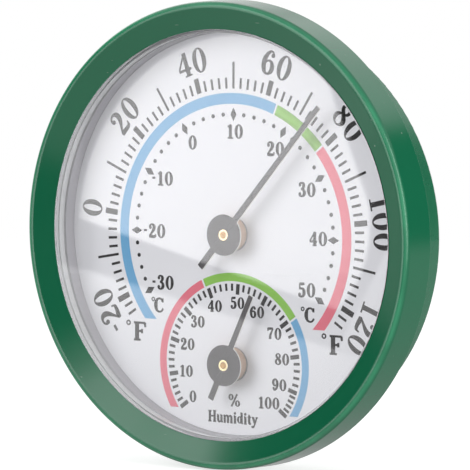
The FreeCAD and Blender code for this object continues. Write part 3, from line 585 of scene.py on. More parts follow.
class Sheet:
    """Collects flat shapes of one ink as (across, up) places, and hands them over as closed parts."""

    def __init__(self, front, back):
        self.front, self.back = front, back
        self.strips, self.loops, self.shapes = [], [], []

    def glyph(self, sign, height, place, bold, wide=GLYPH_WIDE):
        """One glyph, with place as a function that takes its (x, y) places to the dial.

        Every line is made bolder by the same share of the height on each side.
        """
        _, strokes, bowls, balls = GLYPHS[sign]
        grow = np.array([height * wide, height])
        self.strips += [place(stroke([(x, y, half + bold) for x, y, half in knots]) * grow)
                        for knots in strokes]
        self.loops += [place(bowl(x, y, w + bold, h, thick + 2 * bold, thin + bold) * grow)
                       for x, y, w, h, thick, thin in bowls]
        self.shapes += [place(ball(x, y, radius + bold) * grow) for x, y, radius in balls]

    def word(self, text, height, x, z, gap=GLYPH_GAP, bold=SMALL_BOLD, wide=GLYPH_WIDE):
        """An upright word centred at a place."""
        widths = [GLYPHS[sign][0] * wide + gap for sign in text]
        start = -(sum(widths) - gap) / 2
        for sign, width in zip(text, widths):
            offset = np.array([x + start * height, z - height / 2])
            self.glyph(sign, height, lambda p, o=offset: p + o, bold, wide)
            start += width

    def arched_word(self, text, height, radius, middle, z, x=0.0):
        """A word whose glyphs stand on a circle, each turned to its own place on it."""
        widths = np.array([GLYPHS[sign][0] * GLYPH_WIDE + GLYPH_GAP for sign in text])
        centres = np.cumsum(widths) - widths / 2 - widths.sum() / 2
        for sign, centre in zip(text, centres):
            shift = np.array([-GLYPHS[sign][0] * GLYPH_WIDE * height / 2, radius - height / 2])
            turn = middle + centre * height / radius
            self.glyph(sign, height, lambda p, s=shift, a=turn: turned_places(p + s, a, x, z), LARGE_BOLD)

    def bars(self, turns, inner, outer, width, z):
        """Radial bars at several angles: corners at half the width to each side of the radius."""
        turns = np.asarray(turns, float)[:, None]
        side = np.array([-1, 1, 1, -1]) * width / 2
        along = np.array([inner, inner, outer, outer])
        across = side * np.cos(turns) + along * np.sin(turns)
        up = along * np.cos(turns) - side * np.sin(turns) + z
        self.shapes += list(np.stack([across, up], -1))

    def marks(self, outline, turns, radius, z):
        """Copies of an outline about its own middle, turned and carried round a circle."""
        self.shapes += [turned_places(outline + np.array([0, radius]), a, 0, z) for a in turns]

    def small_ring(self, x, z, radius):
        """A degree ring."""
        wall = radius * DEGREE_WALL_SHARE
        self.loops.append(bowl(x, z, radius, radius, wall, wall))

    def shells(self):
        """Closed shells of everything collected, like shapes made together."""
        made = []
        for group, closed in ((self.strips, False), (self.loops, True)):
            for count in sorted({len(e) for e in group}):
                alike = np.stack([e for e in group if len(e) == count])
                made.append(ribbons(alike, self.front, self.back, closed))
        for count in sorted({len(s) for s in self.shapes}):
            alike = np.stack([s for s in self.shapes if len(s) == count])
            made.append(prisms(alike, self.front, self.back))
        return made


# Shader nodes

def put(tree, socket, value):
    """Links an output to a socket, or sets the socket's own value."""
    if isinstance(value, bpy.types.NodeSocket):
        tree.links.new(value, socket)
    elif socket.type == "RGBA" and len(value) == 3:
        socket.default_value = (*value, 1)
    else:
        socket.default_value = value


def node(tree, kind, inputs=None, **settings):
    """A new shader node; inputs maps socket names or numbers to outputs or values."""
    made = tree.nodes.new("ShaderNode" + kind)
    for name, value in settings.items():
        setattr(made, name, value)
    for name, value in (inputs or {}).items():
        put(tree, made.inputs[name], value)
    return made


def ranged(tree, value, low, high, to_low, to_high, smooth=True):
    """A value taken from one range to another."""
    made = node(tree, "MapRange", {"Value": value, "From Min": low, "From Max": high, "To Min": to_low,
                                   "To Max": to_high},
                interpolation_type="SMOOTHSTEP" if smooth else "LINEAR")
    return made.outputs["Result"]


def maths(tree, operation, first, second):
    """One sum, product or the like of two values."""
    return node(tree, "Math", {0: first, 1: second}, operation=operation).outputs[0]


def vector(tree, operation, first, second):
    """One sum, product or the like of two vectors."""
    return node(tree, "VectorMath", {0: first, 1: second}, operation=operation).outputs[0]


def span(tree, first):
    """A vector's length."""
    return node(tree, "VectorMath", {0: first}, operation="LENGTH").outputs["Value"]


def seen_rays(tree):
    """One for the eye's rays, for gloss and for what comes through glass, and zero for the rest."""
    rays = node(tree, "LightPath").outputs
    return maths(tree, "MAXIMUM", rays["Is Camera Ray"],
                 maths(tree, "MAXIMUM", rays["Is Glossy Ray"], rays["Is Transmission Ray"]))


def blended(tree, factor, first, second):
    """Two shaders mixed."""
    made = node(tree, "MixShader", {0: factor})
    tree.links.new(first.outputs[0], made.inputs[1])
    tree.links.new(second.outputs[0], made.inputs[2])
    return made


def mixed(tree, factor, first, second):
    """Two colours mixed."""
    made = node(tree, "Mix", data_type="RGBA")
    sockets = [s for s in made.inputs if s.enabled]
    for socket, value in zip(sockets, (factor, first, second)):
        put(tree, socket, value)
    return next(s for s in made.outputs if s.enabled)


def noise(tree, place, scale, detail=2.0, roughness=0.5):
    """A noise value at a place."""
    made = node(tree, "TexNoise", {"Vector": place, "Scale": scale, "Detail": detail, "Roughness": roughness})
    return made.outputs["Fac"]


def object_place(tree):
    """Object coordinates."""
    return node(tree, "TexCoord").outputs["Object"]


def effect(name, inputs, outputs, build):
    """A shader node group, built once, from (name, kind, default) inputs and (name, kind) outputs."""
    tree = bpy.data.node_groups.get(name)
    if tree is not None:
        return tree
    tree = bpy.data.node_groups.new(name, "ShaderNodeTree")
    for label, kind, default in inputs:
        socket = tree.interface.new_socket(label, in_out="INPUT", socket_type="NodeSocket" + kind)
        socket.default_value = default
    for label, kind in outputs:
        tree.interface.new_socket(label, in_out="OUTPUT", socket_type="NodeSocket" + kind)
    results = build(tree, tree.nodes.new("NodeGroupInput").outputs)
    ends = tree.nodes.new("NodeGroupOutput")
    for label, socket in results.items():
        tree.links.new(socket, ends.inputs[label])
    return tree


GREY = (0.5, 0.5, 0.5, 1)
PALE_DUST = (0.7, 0.72, 0.7, 1)
# Middle of a noise's values
NOISE_MIDDLE = 0.5
# Scales of the noises, in waves per metre
FLOW_SCALE = 28.0
CLOUD_SCALE = 140.0
EDGE_PATCH_SCALE = 90.0
TARNISH_SCALE = 420.0
# Noise values between which patches of edge wear and of the painted edge highlight grow, and their least
# share
EDGE_PATCH_SPAN = (0.40, 0.62)
EDGE_PATCH_LEAST = 0.65
WEAR_ROUGHER = 0.10
# Sizes of specks as shares of a cell, and the cells' random values from which they hold one
SPECK_SPAN = (0.035, 0.07)
SPECK_CELLS = (0.80, 0.86)
# Tilt of the fine scratches, their waves per metre along three axes, and the noise values that show
SCRATCH_TILT = (0.3, 0.5, 0.9)
SCRATCH_SCALE = (60.0, 1400.0, 1100.0)
SCRATCH_SPAN = (0.80, 0.84)
DUST_ROUGHER = 0.3
# Noise values between which tarnish grows
TARNISH_SPAN = (0.42, 0.68)
LINES_ROUGHER = 0.18


def moulded_surface():
    """Slow tone changes where the melt flowed, and a fine grain with its own spread of gloss."""
    def build(tree, given):
        place = object_place(tree)
        flow = noise(tree, place, FLOW_SCALE, 3.0)
        grain = noise(tree, place, given["Grain"], 2.0)
        cloud = noise(tree, place, CLOUD_SCALE, 4.0)
        value = maths(tree, "MULTIPLY_ADD", maths(tree, "SUBTRACT", flow, NOISE_MIDDLE), given["Tone"])
        value.node.inputs[2].default_value = 1.0
        toned = node(tree, "HueSaturation", {"Color": given["Colour"], "Value": value})
        gloss = maths(tree, "MULTIPLY_ADD", maths(tree, "SUBTRACT", cloud, NOISE_MIDDLE), given["Spread"])
        put(tree, gloss.node.inputs[2], given["Roughness"])
        height = maths(tree, "MULTIPLY", grain, given["Depth"])
        sink = maths(tree, "MULTIPLY_ADD", flow, given["Sink"])
        put(tree, sink.node.inputs[2], height)
        bump = node(tree, "Bump", {"Height": sink, "Distance": MM, "Strength": 1.0})
        return {"Colour": toned.outputs["Color"], "Roughness": gloss, "Normal": bump.outputs["Normal"]}
    return effect("Moulded surface",
                  [("Colour", "Color", GREY), ("Tone", "Float", 0.1), ("Roughness", "Float", 0.4),
                   ("Spread", "Float", 0.1), ("Grain", "Float", 3000.0), ("Depth", "Float", 0.003),
                   ("Sink", "Float", 0.01)],
                  [("Colour", "Color"), ("Roughness", "Float"), ("Normal", "Vector")], build)


def edge_wear():
    """A lighter, duller finish of uneven strength along the edges that the mesh's edge attribute marks. On
    the ring its paler green is a painted highlight along the crest as well as wear.
    """
    def build(tree, given):
        edge = node(tree, "Attribute", attribute_name="edge").outputs["Fac"]
        patches = ranged(tree, noise(tree, object_place(tree), EDGE_PATCH_SCALE, 3.0), *EDGE_PATCH_SPAN, EDGE_PATCH_LEAST, 1.0)
        mask = maths(tree, "MULTIPLY", maths(tree, "MULTIPLY", edge, patches), given["Amount"])
        duller = maths(tree, "MULTIPLY_ADD", mask, WEAR_ROUGHER)
        put(tree, duller.node.inputs[2], given["Roughness"])
        return {"Colour": mixed(tree, mask, given["Colour"], given["Worn"]), "Roughness": duller}
    return effect("Edge wear",
                  [("Colour", "Color", GREY), ("Worn", "Color", GREY), ("Roughness", "Float", 0.4),
                   ("Amount", "Float", 0.3)],
                  [("Colour", "Color"), ("Roughness", "Float")], build)


def dust_film():
    """Small pale specks in scattered cells, and short fine scratches."""
    def build(tree, given):
        place = object_place(tree)
        cells = node(tree, "TexVoronoi", {"Vector": place, "Scale": given["Cells"], "Randomness": 1.0})
        size = ranged(tree, cells.outputs["Distance"], *SPECK_SPAN, 1.0, 0.0)
        chosen = node(tree, "SeparateColor", {"Color": cells.outputs["Color"]}).outputs["Red"]
        specks = maths(tree, "MULTIPLY", size, ranged(tree, chosen, *SPECK_CELLS, 0.0, 1.0))
        turned_place = node(tree, "Mapping", {"Vector": place, "Rotation": SCRATCH_TILT,
                                              "Scale": SCRATCH_SCALE}).outputs["Vector"]
        lines = ranged(tree, noise(tree, turned_place, 1.0, 1.0), *SCRATCH_SPAN, 0.0, 1.0)
        mask = maths(tree, "MULTIPLY", maths(tree, "MAXIMUM", specks, lines), given["Amount"])
        rougher = maths(tree, "MULTIPLY_ADD", mask, DUST_ROUGHER)
        put(tree, rougher.node.inputs[2], given["Roughness"])
        return {"Colour": mixed(tree, mask, given["Colour"], given["Dust"]), "Roughness": rougher}
    return effect("Dust and scratches",
                  [("Colour", "Color", GREY), ("Dust", "Color", PALE_DUST), ("Roughness", "Float", 0.4),
                   ("Amount", "Float", 0.4), ("Cells", "Float", 220.0)],
                  [("Colour", "Color"), ("Roughness", "Float")], build)


def drawn_metal():
    """Fine lines along the way a metal was drawn, turned or rolled, with a tarnish in soft patches."""
    def build(tree, given):
        place = object_place(tree)
        long_place = vector(tree, "MULTIPLY", place, given["Stretch"])
        lines = noise(tree, long_place, 1.0, 3.0, 0.6)
        patches = ranged(tree, noise(tree, place, TARNISH_SCALE, 4.0, 0.6), *TARNISH_SPAN, 0.0, 1.0)
        stain = maths(tree, "MULTIPLY", patches, given["Stain"])
        stained = mixed(tree, stain, given["Colour"], given["Tarnish"])
        gloss = maths(tree, "MULTIPLY_ADD", lines, LINES_ROUGHER)
        put(tree, gloss.node.inputs[2], given["Roughness"])
        bump = node(tree, "Bump", {"Height": maths(tree, "MULTIPLY", lines, given["Depth"]), "Distance": MM})
        return {"Colour": stained, "Roughness": gloss, "Normal": bump.outputs["Normal"]}
    return effect("Drawn metal",
                  [("Colour", "Color", GREY), ("Tarnish", "Color", GREY), ("Stain", "Float", 0.3),
                   ("Roughness", "Float", 0.25), ("Depth", "Float", 0.002), ("Stretch", "Vector", (0, 0, 0))],
                  [("Colour", "Color"), ("Roughness", "Float"), ("Normal", "Vector")], build)


def placed(tree, group, **values):
    """A node group in a material, with its inputs set or linked."""
    made = node(tree, "Group", node_tree=group)
    for name, value in values.items():
        put(tree, made.inputs[name], value)
    return made.outputs


def new_material(name):
    """An empty node material and its output node."""
    material = bpy.data.materials.new(name)
    material.use_nodes = True
    material.node_tree.nodes.clear()
    return material, material.node_tree, material.node_tree.nodes.new("ShaderNodeOutputMaterial")


def plastic(name, colour_value, roughness, spread, tone, grain, depth, sink, dust, wear, edge_tint,
            specular):
    """Moulded plastic, paint or ink with edge wear, which on the ring also paints a paler highlight along the
    crest, and a little dust.
    """
    material, tree, output = new_material(name)
    moulded = placed(tree, moulded_surface(), Colour=colour_value, Tone=tone, Roughness=roughness,
                     Spread=spread, Grain=grain, Depth=depth, Sink=sink)
    edged = placed(tree, edge_wear(), Colour=moulded["Colour"], Worn=edge_tint,
                   Roughness=moulded["Roughness"], Amount=wear)
    dusty = placed(tree, dust_film(), Colour=edged["Colour"], Roughness=edged["Roughness"], Amount=dust)
    shader = node(tree, "BsdfPrincipled", {"Base Color": dusty["Colour"], "Roughness": dusty["Roughness"],
                                           "Normal": moulded["Normal"], "IOR": 1.50,
                                           "Specular IOR Level": specular})
    tree.links.new(shader.outputs["BSDF"], output.inputs["Surface"])
    return material


RUBBED_METAL = (0.95, 0.93, 0.90)
METAL_WEAR = 0.5


def metal(name, colour_value, roughness, stain, tarnish_share, stretch, depth, bare):
    """Metal with drawn lines and tarnish, bare or under a thin matt film."""
    material, tree, output = new_material(name)
    darker = tuple(c * tarnish_share for c in colour_value)
    drawn = placed(tree, drawn_metal(), Colour=colour_value, Tarnish=darker, Stain=stain, Roughness=roughness,
                   Depth=depth, Stretch=stretch)
    edge_tint = placed(tree, edge_wear(), Colour=drawn["Colour"], Worn=RUBBED_METAL,
                  Roughness=drawn["Roughness"], Amount=METAL_WEAR)
    shader = node(tree, "BsdfPrincipled", {"Base Color": edge_tint["Colour"], "Roughness": edge_tint["Roughness"],
                                           "Normal": drawn["Normal"], "Metallic": bare})
    tree.links.new(shader.outputs["BSDF"], output.inputs["Surface"])
    return material


CLEAR_TINT = (0.985, 0.985, 0.99)
# What lamps and scattered light keep on their way through the clear plastic
OPEN_TINT = (0.955, 0.955, 0.96)


def clear_plastic(name, roughness, spread, clarity):
    """Clear moulded plastic: refracts for the eye, and lets the lamps and scattered light through."""
    material, tree, output = new_material(name)
    moulded = placed(tree, moulded_surface(), Colour=CLEAR_TINT, Tone=0.01, Roughness=roughness,
                     Spread=spread, Grain=900.0, Depth=0.0, Sink=0.002)
    glass = node(tree, "BsdfPrincipled", {"Base Color": moulded["Colour"], "Roughness": moulded["Roughness"],
                                          "Normal": moulded["Normal"], "IOR": 1.49,
                                          "Transmission Weight": clarity})
    open_way = node(tree, "BsdfTransparent", {"Color": OPEN_TINT})
    rays = node(tree, "LightPath").outputs
    for ray in ("Is Diffuse Ray", "Is Shadow Ray"):
        glass = blended(tree, rays[ray], glass, open_way)
    tree.links.new(glass.outputs[0], output.inputs["Surface"])
    return material


# Noise waves per metre along three axes
ROUND_LINES = (300.0, 9000.0, 300.0)
ROLLED_LINES = (400.0, 9000.0, 400.0)

# Colour, roughness, spread of gloss, tone, grain, grain depth, sink depth, dust, edge wear (on the ring also
# a painted highlight along the crest), edge colour and specular level of each plastic, paint and ink
PLASTICS = {
    # The ring's paler edge green is a painted highlight along the crest, as well as edge wear
    "ring_green": ("green", 0.17, 0.06, 0.12, 900.0, 0.0008, 0.02, 0.22, 0.6, "mint", 0.5),
    "housing_green": ("green", 0.27, 0.12, 0.14, 2600.0, 0.006, 0.02, 0.30, 0.3, "mint", 0.5),
    # The tray's grey is painted shade of its wall in the recess behind the cover's skirt
    "tray_white": ("white", 0.48, 0.12, 0.05, 2200.0, 0.006, 0.01, 0.05, 0.0, "white", 0.5),
    "dial_white": ("dial", 0.55, 0.12, 0.03, 3600.0, 0.003, 0.004, 0.04, 0.0, "dial", 0.25),
    "black_ink": ("ink", 0.42, 0.12, 0.25, 4200.0, 0.003, 0.0, 0.0, 0.0, "ink", 0.12),
    "blue_ink": ("blue", 0.42, 0.12, 0.08, 4200.0, 0.003, 0.0, 0.0, 0.0, "blue", 0.12),
    "green_ink": ("leaf", 0.42, 0.12, 0.08, 4200.0, 0.003, 0.0, 0.0, 0.0, "leaf", 0.12),
    "red_ink": ("red", 0.42, 0.12, 0.08, 4200.0, 0.003, 0.0, 0.0, 0.0, "red", 0.12),
    "black_enamel": ("enamel", 0.15, 0.06, 0.20, 1800.0, 0.002, 0.004, 0.10, 0.7, "bare", 0.35),
    "sheared_edge": ("bare", 0.30, 0.10, 0.10, 2600.0, 0.004, 0.0, 0.10, 0.0, "bare", 0.5),
}
# Colour, roughness, stain, tarnish as a share of the colour, lines, line depth and metallic share
METALS = {
    "turned_brass": ("brass", 0.06, 0.25, 0.6, ROUND_LINES, 0.001, 1.0),
    "post_brass": ("pin", 0.34, 0.35, 0.5, ROUND_LINES, 0.002, 1.0),
    "rolled_strip": ("strip", 0.30, 0.40, 0.7, ROLLED_LINES, 0.002, 0.3),
    "plated_steel": ("steel", 0.20, 0.25, 0.6, ROUND_LINES, 0.002, 1.0),
}
# Roughness, spread of gloss and transmission
CLEARS = {
    "polished_clear": (0.012, 0.01, 1.0),
    "moulded_clear": (0.22, 0.08, 0.25),
}


def finish(name):
    """One of the object's finishes, made when first asked for."""
    known = bpy.data.materials.get(name)
    if known is not None:
        return known
    own = sizes("finishes")
    if name in CLEARS:
        return clear_plastic(name, *CLEARS[name])
    if name in METALS:
        main, *rest = METALS[name]
        return metal(name, getattr(own, main), *rest)
    main, *rest, edge_tint, specular = PLASTICS[name]
    return plastic(name, getattr(own, main), *rest, getattr(own, edge_tint), specular)


def dress(material, *nodes):
    """Gives CAD nodes that keep their shape their finish."""
    for name in nodes:
        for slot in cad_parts[name].material_slots:
            slot.material = finish(material)


def depth_y(depth):
    """Y of a place that lies this far behind the ring's crest."""
    return sizes("ring").crest + depth


def section_of(corners):
    """A turned section from (radius, depth, rounding) corners, with its share of edge."""
    points, edge = rounded(corners)
    points[:, 1] += sizes("ring").crest
    return points, edge


# Operators

class Maker:
    """What all makers share: they run on the open scene and can be undone."""
    bl_options = {"REGISTER", "UNDO"}


# Name, azimuth, elevation, distance, half width and half height in degrees, and radiance of each card
STUDIO_CARDS = (
    ("left_softbox", -23, 12, 1.15, 22, 30, 3.45),
    ("right_softbox", 63, 15, 1.15, 11, 28, 5.5),
    ("back_softbox", -124, 38, 1.1, 19, 26, 2.4),
    ("gap_flag", 4, 0, 0.95, 11, 21, 0.02),
    ("left_flag", -69, 17, 0.9, 24, 17, 0.02),
    ("left_wall", -84, -8, 1.2, 30, 12, 0.55),
    ("back_flag", 130, 13, 1.0, 40, 20, 0.05),
    ("top_softbox", 178, 46, 1.15, 30, 15, 1.5),
    ("front_flag", 20, 52, 1.0, 48, 12, 0.6),
)
# Name, azimuth and elevation in degrees, distance, diameter and watts of each lamp
LAMPS = (
    ("key", -30, 16, 1.25, 1.1, 9.4),
    ("rim", 90, 6, 1.0, 0.6, 8.5),
)
CLIP_NEAR, CLIP_FAR = 0.1, 20
FLOOR_CORNERS = 96
FLOOR_CLOUDS = 6.0
FLOOR_SPAN = (0.3, 0.7)
FLOOR_TONES = (0.60, 0.63)
FLOOR_GLOW = 0.70
# Share of the floor's radius at which it starts to fade
FLOOR_FADE = 0.4
# How far the veil's card lies from the cover's middle, along the view that the cover mirrors
VEIL_BEYOND = 0.9
# Level cards: how far they lie below the ring, and middle, half sides and radiance of each
SWEEP_DROP = 0.24
SWEEPS = (
    ("sweep", (0, 0, 0), (4, 4), 0.62),
    ("front_sweep", (-0.5, -0.7, 0.01), (0.75, 0.9), 0.82),
)
# Shares of a card's side, from its middle, between which its light fades
CARD_FADE = (0.36, 0.5)
# The photograph's side, in its own pixels, as are the places below
IMAGE_SIDE = 470
# Middle and half axes of the dial's outline
DIAL_MIDDLE = (238, 233)
DIAL_HALF = (163, 201)
# Shares of these axes between which the window fades, and the share of its light that is left beyond
DIAL_FADE = (0.975, 1.0)
BEYOND_DIAL = 0.35
# Centre of the window's round corner, and the shares of the image's side between which it fades
WINDOW_CORNER = (250, 228)
CORNER_FADE = (0.249, 0.262)
# Place of each straight border, its normal right and down, half width of its fade and light beyond it
WINDOW_BORDERS = (
    (364, 190, -0.949, 0.316, 0.006, 1.0),
    (125, 235.5, 0.333, -0.943, 0.006, 1.0),
)
REST_BORDERS = (
    (133, 285, -0.304, 0.953, 0.009, 0.88),
    (358, 310, 0.9, 0.44, 0.008, 0.5),
    (84, 250, -1.0, 0.0, 0.02, 0.5),
)
BAR_LIGHT = 0.08
VEIL_LIGHT = 3.45


class HYGROMETER_OT_stage(Maker, bpy.types.Operator):
    """Camera, world, floor, lamps and the cards that gloss reflects"""
    bl_idname = "hygrometer.stage"
    bl_label = "Stage"

    def execute(self, context):
        own = sizes("studio")
        back, right, up, place = self.camera(context, own)
        self.world(context, own)
        self.floor(own)
        for row in LAMPS:
            self.lamp(*row)
        self.cards(own, back, right, up, place)
        return {"FINISHED"}

    def camera(self, context, own):
        """Looks along -back, where back points from the case's crest towards the camera."""
        az, el = own.azimuth, own.elevation
        back = Vector((math.sin(az) * math.cos(el), -math.cos(az) * math.cos(el), math.sin(el)))
        right = Vector((math.cos(az), math.sin(az), 0))
        up = back.cross(right)
        place = Vector((0, depth_y(0), 0)) + back * own.distance + right * own.across + up * own.above
        data = bpy.data.cameras.new("camera")
        data.lens, data.sensor_width = own.focal, own.sensor
        data.clip_start, data.clip_end = CLIP_NEAR, CLIP_FAR
        camera = bpy.data.objects.new("camera", data)
        camera.matrix_world = Matrix.Translation(place) @ Matrix((right, up, back)).transposed().to_4x4()
        context.scene.collection.objects.link(camera)
        context.scene.camera = camera
        context.scene.view_settings.view_transform = "Standard"
        return back, right, up, place

    def world(self, context, own):
        """White to the eye, to gloss and through glass, and a plain even light for the rest."""
        world = bpy.data.worlds.new("world")
        world.use_nodes = True
        tree = world.node_tree
        tree.nodes.clear()
        strength = ranged(tree, seen_rays(tree), 0.0, 1.0, own.world_light, 1.0, smooth=False)
        light = node(tree, "Background", {"Color": (1, 1, 1), "Strength": strength})
        output = tree.nodes.new("ShaderNodeOutputWorld")
        tree.links.new(light.outputs[0], output.inputs["Surface"])
        world.cycles.sampling_method = "NONE"
        context.scene.world = world

    def floor(self, own):
        """A wide pale disc just under the case, which fades out.

        Only the eye, gloss and what comes through glass see its added white.
        """
        steps = np.linspace(0, FULL_TURN, FLOOR_CORNERS, endpoint=False)
        rim = own.floor_radius
        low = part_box("front_bezel")[0].z - own.floor_gap
        points = np.column_stack([rim * np.sin(steps), rim * np.cos(steps), np.full(FLOOR_CORNERS, low)])
        mesh = bpy.data.meshes.new("floor")
        mesh.from_pydata(points.tolist(), [], [list(range(FLOOR_CORNERS - 1, -1, -1))])
        material, tree, output = new_material("floor")
        place = object_place(tree)
        tone = ranged(tree, noise(tree, place, FLOOR_CLOUDS, 3.0), *FLOOR_SPAN, *FLOOR_TONES)
        diffuse = node(tree, "BsdfDiffuse", {"Color": node(tree, "CombineColor", {
            "Red": tone, "Green": tone, "Blue": tone}).outputs[0]})
        white = maths(tree, "MULTIPLY", seen_rays(tree), FLOOR_GLOW)
        glow = node(tree, "Emission", {"Color": (1, 1, 1), "Strength": white})
        both = tree.nodes.new("ShaderNodeAddShader")
        tree.links.new(diffuse.outputs[0], both.inputs[0])
        tree.links.new(glow.outputs[0], both.inputs[1])
        faded = ranged(tree, span(tree, place), rim * FLOOR_FADE, rim, 0.0, 1.0)
        fade = blended(tree, faded, both, node(tree, "BsdfTransparent"))
        tree.links.new(fade.outputs[0], output.inputs["Surface"])
        material.cycles.emission_sampling = "NONE"
        mesh.materials.append(material)
        self.staged("floor", mesh).visible_glossy = False

    def lamp(self, name, azimuth, elevation, reach, size, watts):
        """A round soft lamp that points at the case."""
        data = bpy.data.lights.new(name, "AREA")
        data.shape, data.size, data.energy = "DISK", size, watts
        lamp = bpy.data.objects.new(name, data)
        toward = self.direction(azimuth, elevation)
        lamp.location = toward * reach
        lamp.rotation_mode = "QUATERNION"
        lamp.rotation_quaternion = toward.to_track_quat("Z", "Y")
        lamp.visible_glossy = False
        bpy.context.scene.collection.objects.link(lamp)

    def direction(self, azimuth, elevation):
        """A unit vector; azimuth in degrees to the right of -Y, elevation above the horizon."""
        az, el = math.radians(azimuth), math.radians(elevation)
        return Vector((math.sin(az) * math.cos(el), -math.cos(az) * math.cos(el), math.sin(el)))

    def staged(self, name, mesh):
        """An object of the stage."""
        made = bpy.data.objects.new(name, mesh)
        bpy.context.scene.collection.objects.link(made)
        return made

    def card(self, name, middle, across, along, material):
        """A flat card that only gloss and the clear cover see: its middle, and the half sides as vectors."""
        corners = [middle - across - along, middle + across - along, middle + across + along,
                   middle - across + along]
        mesh = bpy.data.meshes.new(name)
        mesh.from_pydata([tuple(c) for c in corners], [], [(0, 1, 2, 3)])
        mesh.uv_layers.new(name="card").data.foreach_set("uv", [0, 0, 1, 0, 1, 1, 0, 1])
        mesh.materials.append(material)
        made = self.staged(name, mesh)
        made.visible_camera = made.visible_diffuse = made.visible_shadow = False
        return made

    def cards(self, own, back, right, up, place):
        """Cards that gloss reflects: the cover's veil, some all round and level ones below."""
        mirror = Vector((1, -1, 1))
        cover = depth_y(sizes("ring").lens_front)
        run = (place.y - cover) / back.y
        middle = place - back * run
        half = (run + VEIL_BEYOND) * own.sensor / own.focal / 2
        self.card("veil_card", middle - back * mirror * VEIL_BEYOND, right * mirror * half,
                  up * mirror * half, self.veil())
        for name, az, el, reach, wide, high, light in STUDIO_CARDS:
            toward = self.direction(az, el)
            sideways = Vector((0, 0, 1)).cross(toward).normalized()
            across = sideways * reach * math.tan(math.radians(wide))
            along = toward.cross(sideways) * reach * math.tan(math.radians(high))
            self.card(name, toward * reach, across, along, self.glow(name, light))
        low = Vector((0, 0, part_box("front_bezel")[0].z - SWEEP_DROP))
        for name, spot, (wide, deep), light in SWEEPS:
            self.card(name, low + Vector(spot), Vector((wide, 0, 0)), Vector((0, deep, 0)),
                      self.glow(name, light))

    def glow(self, name, strength):
        """An even emission with softer edges."""
        material, tree, output = new_material(name)
        spot = node(tree, "TexCoord").outputs["UV"]
        parts = node(tree, "SeparateXYZ", {"Vector": spot}).outputs
        inside = [ranged(tree, maths(tree, "ABSOLUTE", maths(tree, "SUBTRACT", parts[axis], 0.5), 0.0),
                         *CARD_FADE, 1.0, 0.0) for axis in ("X", "Y")]
        mask = maths(tree, "MULTIPLY", *inside)
        strength = maths(tree, "MULTIPLY", mask, strength)
        light = node(tree, "Emission", {"Color": (1, 1, 1), "Strength": strength})
        mix = blended(tree, mask, node(tree, "BsdfTransparent"), light)
        tree.links.new(mix.outputs[0], output.inputs["Surface"])
        material.cycles.emission_sampling = "NONE"
        return material

    def veil(self):
        """What the clear cover reflects: a bright window with a round lower right corner, above a dark bar.

        Each straight border's share is the way from its line along its normal, and the corner's share is
        the length of the way right of and down from the corner's centre. Past the dial's outline, which is
        the length of the way from its middle in half axes, the window is dimmer.
        """
        material, tree, output = new_material("veil_card")
        spot = node(tree, "TexCoord").outputs["UV"]

        def way_from(x, y):
            """From a place in the photograph's pixels, counted down."""
            return vector(tree, "SUBTRACT", spot, (x / IMAGE_SIDE, 1 - y / IMAGE_SIDE, 0))

        def border(x, y, across, down, soft, light):
            """Light on the far side of a line."""
            normal = Vector((across, -down, 0)).normalized()
            away = node(tree, "VectorMath", {0: way_from(x, y), 1: tuple(normal)}, operation="DOT_PRODUCT")
            return ranged(tree, away.outputs["Value"], -soft, soft, 0.0, light)

        way = vector(tree, "MULTIPLY", way_from(*WINDOW_CORNER), (1, -1, 0))
        way = vector(tree, "MAXIMUM", way, (0, 0, 0))
        corner = ranged(tree, span(tree, way), *CORNER_FADE, 1.0, 0.0)
        axes = (IMAGE_SIDE / DIAL_HALF[0], IMAGE_SIDE / DIAL_HALF[1], 0)
        way = vector(tree, "MULTIPLY", way_from(*DIAL_MIDDLE), axes)
        corner = maths(tree, "MULTIPLY", corner, ranged(tree, span(tree, way), *DIAL_FADE, 1.0, BEYOND_DIAL))
        straight = maths(tree, "MULTIPLY", *[border(*row) for row in WINDOW_BORDERS])
        window = maths(tree, "MULTIPLY", corner, straight)
        light = maths(tree, "MAXIMUM", window, BAR_LIGHT)
        for row in REST_BORDERS:
            light = maths(tree, "MAXIMUM", light, border(*row))
        light = maths(tree, "MULTIPLY", light, VEIL_LIGHT)
        glow = node(tree, "Emission", {"Color": (1, 1, 1), "Strength": light})
        tree.links.new(glow.outputs[0], output.inputs["Surface"])
        material.cycles.emission_sampling = "NONE"
        return material


class HYGROMETER_OT_ring(Maker, bpy.types.Operator):
    """Green front ring with its dished face, round crest and screw bosses"""
    bl_idname = "hygrometer.ring"
    bl_label = "Front ring"

    def execute(self, context):
        own = sizes("ring")
        section, edge = section_of(self.corners(own))
        shells = [turned(section, edge)]
        boss_section, boss_edge = section_of([
            (own.boss_bore, own.boss_front), (own.boss, own.boss_front),
            (own.boss, own.boss_back, own.edge), (own.boss_bore, own.boss_back, own.edge)])
        for turn in np.radians(BOSS_TURNS):
            shells.append(turned(boss_section, boss_edge, BOSS_STEPS, own.boss_circle * math.cos(turn),
                                 own.boss_circle * math.sin(turn)))
        add_piece("ring", shells, [finish("ring_green")], "case", ["front_bezel"])
        return {"FINISHED"}

    def corners(self, own):
        """The section: the crest's rounding touches the dished face and the tapered side."""
        window = (own.window, own.dish)
        back = (own.radius, own.depth)
        centre = (own.radius - own.draft - own.lip, own.lip)
        face_end = tangent_place(window, centre, own.lip, -1)
        side_start = tangent_place(back, centre, own.lip, 1)
        slope = (own.dish - face_end[1]) / (face_end[0] - own.window)
        inner = own.radius - own.draft - own.wall
        seat = own.dish + own.nose
        crest = meeting(window, face_end, back, side_start)
        return [(*window, own.edge), (*crest, own.lip), (*back, own.edge),
                (own.radius - own.wall, own.depth, own.edge),
                (inner, seat - slope * (inner - own.seat), own.edge), (own.seat, seat, own.edge / 2),
                (own.window, seat, own.edge / 2)]


